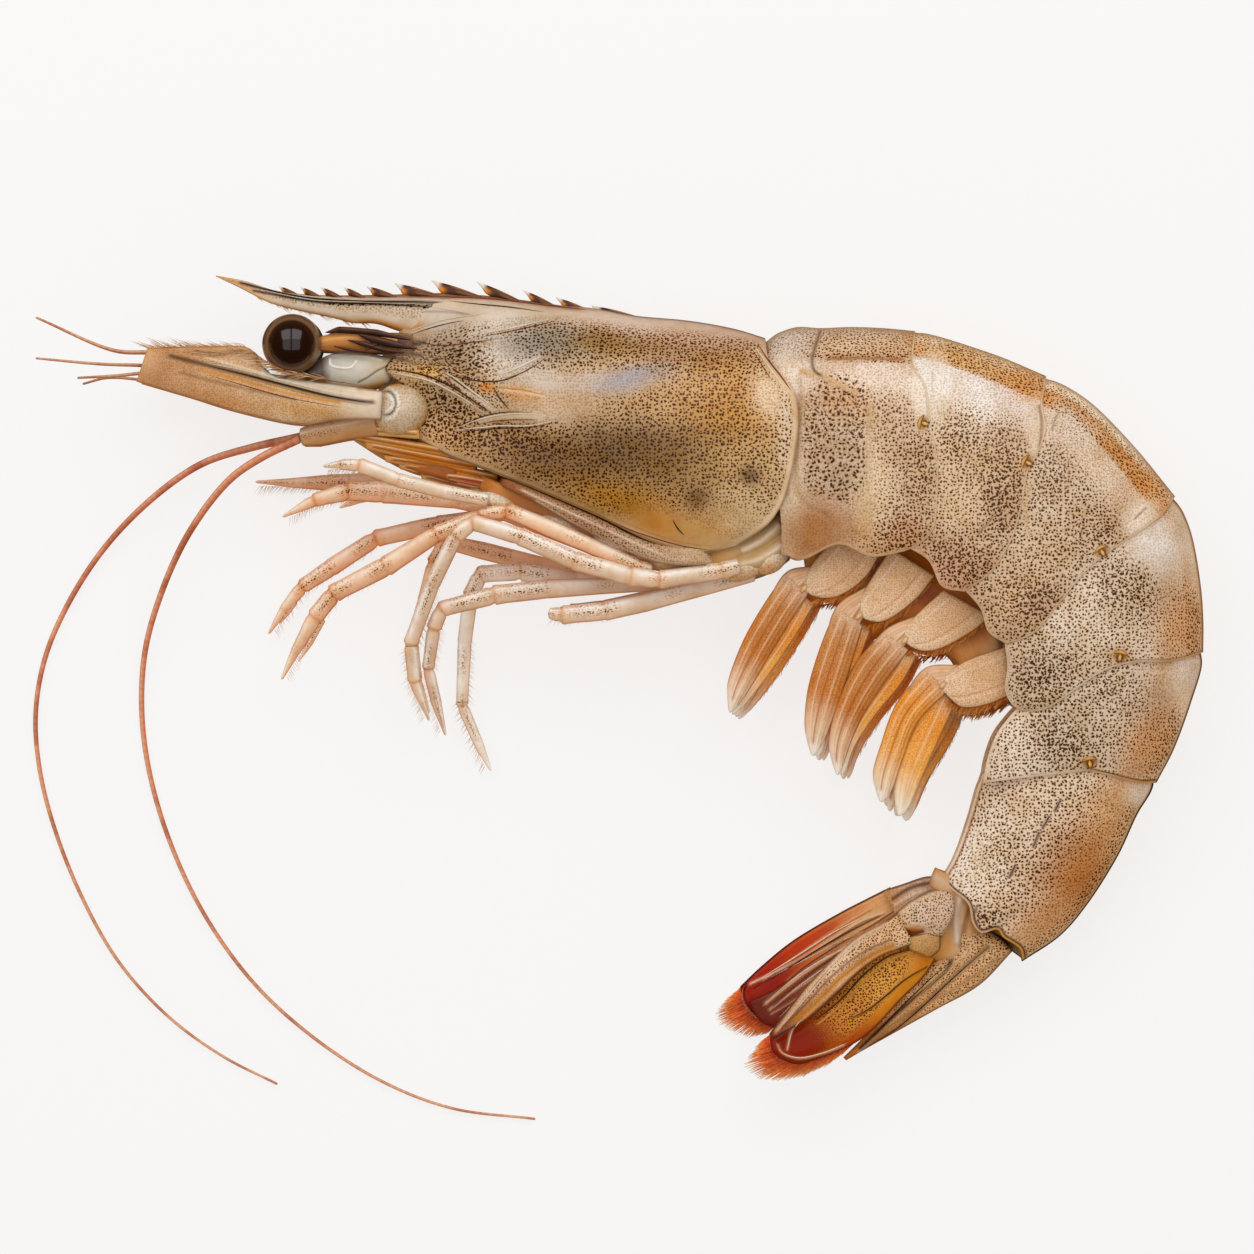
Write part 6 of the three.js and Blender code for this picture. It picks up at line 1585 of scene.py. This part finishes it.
lower = spline(at("256,296 276,304 300,310 322,315.5 345,321 364,324"), 90)
hairs("rostrum_hairs", "shell", lower + [0, 0.15],
      lower + np.array([0.5, -0.35]) * (1 + 0.8 * np.sin(np.arange(90) * 0.37))[:, None],
      0.05, stops("0 176,106,40  .5 222,160,84  1 236,196,140"), 132, (MIDPLANE, MIDPLANE), 0.12)

# ---- Fine ridges ------------------------------------------------------------------------------
# Each keel and fold of the shell ends in a hair-thin raised edge, dark horn or glassy white,
# drawn out to nothing at both ends. They are part of the shell and lie on its surface.
DARK_EDGE = rgb(52, 28, 14)
RUST_EDGE = rgb(124, 58, 22)
GOLD_EDGE = rgb(206, 146, 70)
WHITE_EDGE = rgb(226, 210, 190)


def surface_under(path, pieces, floor):
    """Height of the pieces' upper side under each place of a path: the highest of the six
    nearest corners above the floor, evened out along the path."""
    ground = []
    for name in pieces:
        vertices = bpy.data.objects[name].data.vertices
        corners = np.empty(len(vertices) * 3)
        vertices.foreach_get("co", corners)
        ground.append((corners.reshape(-1, 3) - DATUM) / MM)
    ground = np.vstack(ground)
    ground = ground[ground[:, 2] > floor]
    gap = np.linalg.norm(path[:, None] - ground[None, :, :2], axis=-1)
    level = ground[np.argpartition(gap, 6, axis=1)[:, :6], 2].max(1)
    return np.convolve(np.pad(level, 3, mode="edge"), np.full(7, 1 / 7), mode="valid")


def threads(name, material, pieces, floor, rows, both=False):
    """Thin raised lines on a surface, in one mesh. Each is a six-sided tube along a smooth line,
    its radius the half width times the sine of its share to the power 0.8, half sunk in the shell.
    With both, every line is repeated on the other side of the midplane."""
    steps, tubes, tints = 60, [], []
    for line, wide, colour in rows:
        path = spline(line, steps)
        level = surface_under(path, pieces, floor)
        side = left(unit(np.gradient(path, axis=0)))
        radius = wide * np.sin(np.linspace(0, np.pi, steps))[:, None] ** 0.8
        angle = np.arange(6) * np.pi / 3
        flat = path[:, None] + (radius * np.cos(angle))[..., None] * side[:, None]
        tube = np.dstack([flat, level[:, None] + 0.7 * radius * np.sin(angle)])
        for mirrored in (False, True)[:1 + both]:
            tubes.append(tube * [1, 1, -1] + [0, 0, 2 * MIDPLANE] if mirrored else tube)
            tints.append(np.broadcast_to(colour, (steps, 6, 3)))
    skin(name, np.array(tubes), [], material, tint=np.array(tints))


threads("carapace_edges", SHELL, ["carapace_shell", "rostrum_blade"], MIDPLANE + 0.3, [
    (at("383,370 405,372 430,378 452,388 470,399 492,414"), 0.09, DARK_EDGE),
    (at("386,373.5 405,376 430,382 452,392.5 470,403.5 485,414"), 0.08, WHITE_EDGE),
    (at("440,368 467,388 498,411"), 0.09, WHITE_EDGE),
    (at("437,371 458,390 476,404 494,416"), 0.06, RUST_EDGE),
    (at("443,373 462,386 478,396"), 0.05, DARK_EDGE),
    (at("440,369 452,376 464,380 484,383 504,382 520,376 533,368"), 0.07, DARK_EDGE),
    (at("500,377 515,371 530,364 544,357"), 0.1, WHITE_EDGE),
    (at("504,381 522,375 536,367 548,358"), 0.05, RUST_EDGE),
    (at("494,388 500,399 510,411"), 0.07, DARK_EDGE), (at("490,389 520,391 546,397"), 0.06, GOLD_EDGE),
    (at("453,431 470,424 488,418.5 510,415.5 535,415.5 562,421"), 0.07, WHITE_EDGE),
    (at("453,431 478,429 500,427 530,427 562,421"), 0.08, WHITE_EDGE),
    (at("458,428 488,416.5 510,413.5 535,414"), 0.045, DARK_EDGE),
    (at("453,433 478,431.5 500,429.5 530,429 556,424"), 0.05, DARK_EDGE),
    (at("470,427 500,422 540,421"), 0.045, RUST_EDGE),
    (at("478,339 510,333 536,327 558,322"), 0.055, RUST_EDGE),
    (at("478,336 510,330 536,324 558,319"), 0.07, WHITE_EDGE),
    (at("405,333 422,327 440,321 465,317 490,314"), 0.09, WHITE_EDGE),
    (at("408,336 425,330 444,325 466,321"), 0.05, DARK_EDGE),
    (at("448,301 480,305 510,308 545,313"), 0.06, DARK_EDGE),
    (at("430,307 455,311 480,317"), 0.06, WHITE_EDGE),
    (at("404,297 450,297 500,300 550,306 600,312"), 0.07, RUST_EDGE),
    (at("412,340 440,346 470,344 500,340"), 0.045, RUST_EDGE),
    (at("757,345 768,362 780,378 791,394"), 0.08, RUST_EDGE),
    (at("754,347 765,364 777,381 787,397"), 0.09, WHITE_EDGE),
    (at("750,348 762,368 772,384"), 0.04, RUST_EDGE), (at("776,396 784,412 789,432"), 0.1, WHITE_EDGE),
    (at("672,520 678,530 684,536"), 0.07, DARK_EDGE),
    (at("600,518 640,534 680,546 712,551"), 0.06, RUST_EDGE),
    (at("612,517 650,532 690,544 716,547"), 0.05, GOLD_EDGE)], both=True)
threads("rostrum_edges", SHELL, ["rostrum_blade"], MIDPLANE + 0.05, [
    (at("238,282 300,296.5 352,301 430,302"), 0.08, DARK_EDGE),
    (at("252,290 320,302 380,304 440,308"), 0.06, DARK_EDGE),
    (at("246,286.5 310,299.5 370,302.5 430,304.5"), 0.05, WHITE_EDGE)], both=True)
threads("scale_edges", SKIN, ["scale_plate_left"], 13.6, [
    (at("208,367 245,375.5 290,387 330,397 378,405.5"), 0.1, DARK_EDGE),
    (at("213,370.5 250,379 292,390.5 335,400.5 372,408"), 0.06, GOLD_EDGE),
    (at("205,364 245,371.5 290,383.5 330,393 374,401"), 0.07, WHITE_EDGE),
    (at("268,368 290,374 325,381 366,387"), 0.05, RUST_EDGE),
    (at("345,409 290,399 240,385 205,375"), 0.05, RUST_EDGE)])
threads("fan_edges", FAN, ["outer_oar_right", "inner_oar_right", "stalk_right"], 0.5, [
    (at("898,933 880,938 847,950 810,970 780,993 762,1010"), 0.07, WHITE_EDGE),
    (at("887,942 833,970 800,1000 777,1023"), 0.06, WHITE_EDGE),
    (at("867,933 840,944 810,960 767,982"), 0.05, WHITE_EDGE),
    (at("887,910 843,930 800,957 752,987"), 0.08, WHITE_EDGE),
    (at("882,918 842,938 800,964 756,993"), 0.05, DARK_EDGE),
    (at("860,948 830,967 795,992 770,1014"), 0.05, WHITE_EDGE),
    (at("888,928 862,934 838,945"), 0.06, GOLD_EDGE)])
OAR_PLATES = ["outer_oar_left", "inner_oar_left", "telson_plate", "stalk_left", "stalk_lobe"]
threads("oar_edges", FAN, OAR_PLATES, 2.0, [
    (at("900,925 880,930 860,942 830,970 797,1008 773,1036"), 0.07, WHITE_EDGE),
    (at("903,947 875,953 845,973 815,1002 790,1023"), 0.06, GOLD_EDGE),
    (at("913,949 888,957 864,975 842,999 816,1021"), 0.07, DARK_EDGE),
    (at("914,953 890,961 866,979 846,1001 822,1023"), 0.06, GOLD_EDGE),
    (at("926,967 905,980 886,996 868,1010 850,1019"), 0.055, DARK_EDGE),
    (at("803,1018 793,1030 787,1052"), 0.07, WHITE_EDGE),
    (at("958,957 934,977 900,1010 878,1033 858,1053"), 0.06, DARK_EDGE),
    (at("960,960 936,981 902,1014 880,1037"), 0.05, GOLD_EDGE),
    (at("992,945 957,976 900,1028 864,1051"), 0.055, DARK_EDGE),
    (at("904,931 914,934 926,931"), 0.07, RUST_EDGE),
    (at("776,1041 781,1052 798,1058 824,1053 848,1043"), 0.06, WHITE_EDGE)])

# ---- Feelers ----------------------------------------------------------------------------------
# Two long whips and four short feelers: springy threads of hundreds of fine rings, red brown
# and thick at the head, paling and thinning to a hair.


def whip(start):
    """Tint from the mesh, ringed finely along the thread by its own length, darker in runs."""
    tint = start.node("ShaderNodeAttribute", {"attribute_name": "tint"})
    reach = start.node("ShaderNodeAttribute", {"attribute_name": "reach"}, out=2)
    rings = (reach * 9.0).math("SINE") * 0.5 + 0.5
    runs = grain(start).node("ShaderNodeTexNoise", Vector=grain(start), Scale=0.35, Detail=2.0)
    deep = runs.between(0.42, 0.62).mix(tint, (0.74, 0.56, 0.46, 1), "MULTIPLY")
    bump = start.node("ShaderNodeBump", Height=rings, Strength=0.4, Distance=0.00006)
    return {"Base_Color": (rings * 0.3).mix(deep, (0.72, 0.56, 0.46, 1), "MULTIPLY"), "Normal": bump,
            "Roughness": runs * 0.2 + 0.3}


THREAD = finish("feeler", whip, Coat_Weight=0.2, Coat_Roughness=0.2)
FEELERS = {
    "antenna_left": (at("301,439,11.9 262,458,11.2 230,480,10 190,530,7 160,590,3.4 142,650,1.5 138,710,.7 "
                        "145,770,.55 165,840,.55 200,915,.55 250,985,.5 310,1040,.5 380,1085,.45 "
                        "450,1112,.4 535,1123,.35"),
                     0.48, 0.13),
    "antenna_right": (at("301,436,5.6 250,447,5 200,463,3.8 150,497,2.2 100,548,1 62,607,.6 40,660,.55 "
                         "31,715,.55 35,770,.55 50,830,.5 78,900,.5 115,965,.45 165,1020,.4 220,1060,.4 "
                         "275,1088,.35"),
                      0.48, 0.13),
    "antennule_outer_left": (at("308,379,10.4 270,378,10.2 235,367,10 195,355,10.2 150,353,10.6 "
                                "115,351,10.8 37,318,11.5"), 0.5, 0.12),
    "antennule_inner_left": (at("306,388,9.9 262,388,9.8 210,372,9.6 150,366,9.2 100,364,8.7 35,358,8"),
                             0.35, 0.12),
    "antennule_outer_right": (at("308,379,7.2 250,379,7.3 200,373,6.9 150,372,6.3 115,375,5.8 75,377,5"),
                              0.5, 0.12),
    "antennule_inner_right": (at("306,388,7.6 250,391,6.9 200,388,6.4 140,379,5.4 105,377,4.7 80,383,4.2"),
                              0.35, 0.12),
}
for name, (path, thick, thin) in FEELERS.items():
    great = "antenna_" in name
    count = 700 if great else 240
    line = spline(path, count)
    u = np.linspace(0, 1, count)
    radius = thick + (thin - thick) * u ** (0.55 if great else 0.7)
    radius[[0, -1]] = 0
    way = unit(np.gradient(line, axis=0))
    side = unit(np.cross(way, [0, 0, 1.0]))
    up = np.cross(side, way)
    a = np.linspace(0, 2 * np.pi, 10, endpoint=False)
    spoke = side[:, None] * np.sin(a)[:, None] + up[:, None] * np.cos(a)[:, None]
    points = line[:, None] + spoke * radius[:, None, None]
    points[..., 2] = np.maximum(points[..., 2], 0.02)
    colours = stops("0 214,128,88  .12 210,116,80  .5 216,132,92  1 224,166,128")
    if not great:
        colours = stops("0 176,122,72  .5 170,104,62  1 206,150,110")
    tint = ramp(u, colours)[:, None] * np.ones((1, 10, 1))
    # Painted highlight: a pale line along the upper side of each thread.
    lit = ease(0.75, 0.95, np.cos(a - 0.6))[None, :] * np.ones((count, 1))
    tint = lay(tint, rgb(240, 190, 152), 0.7 * lit)
    reach = (u * np.linalg.norm(np.diff(line, axis=0), axis=1).sum())[:, None] * np.ones((1, 10))
    skin(f"{name}_thread", points, [f"{name}_flagellum"], THREAD, tint=tint, reach=reach)
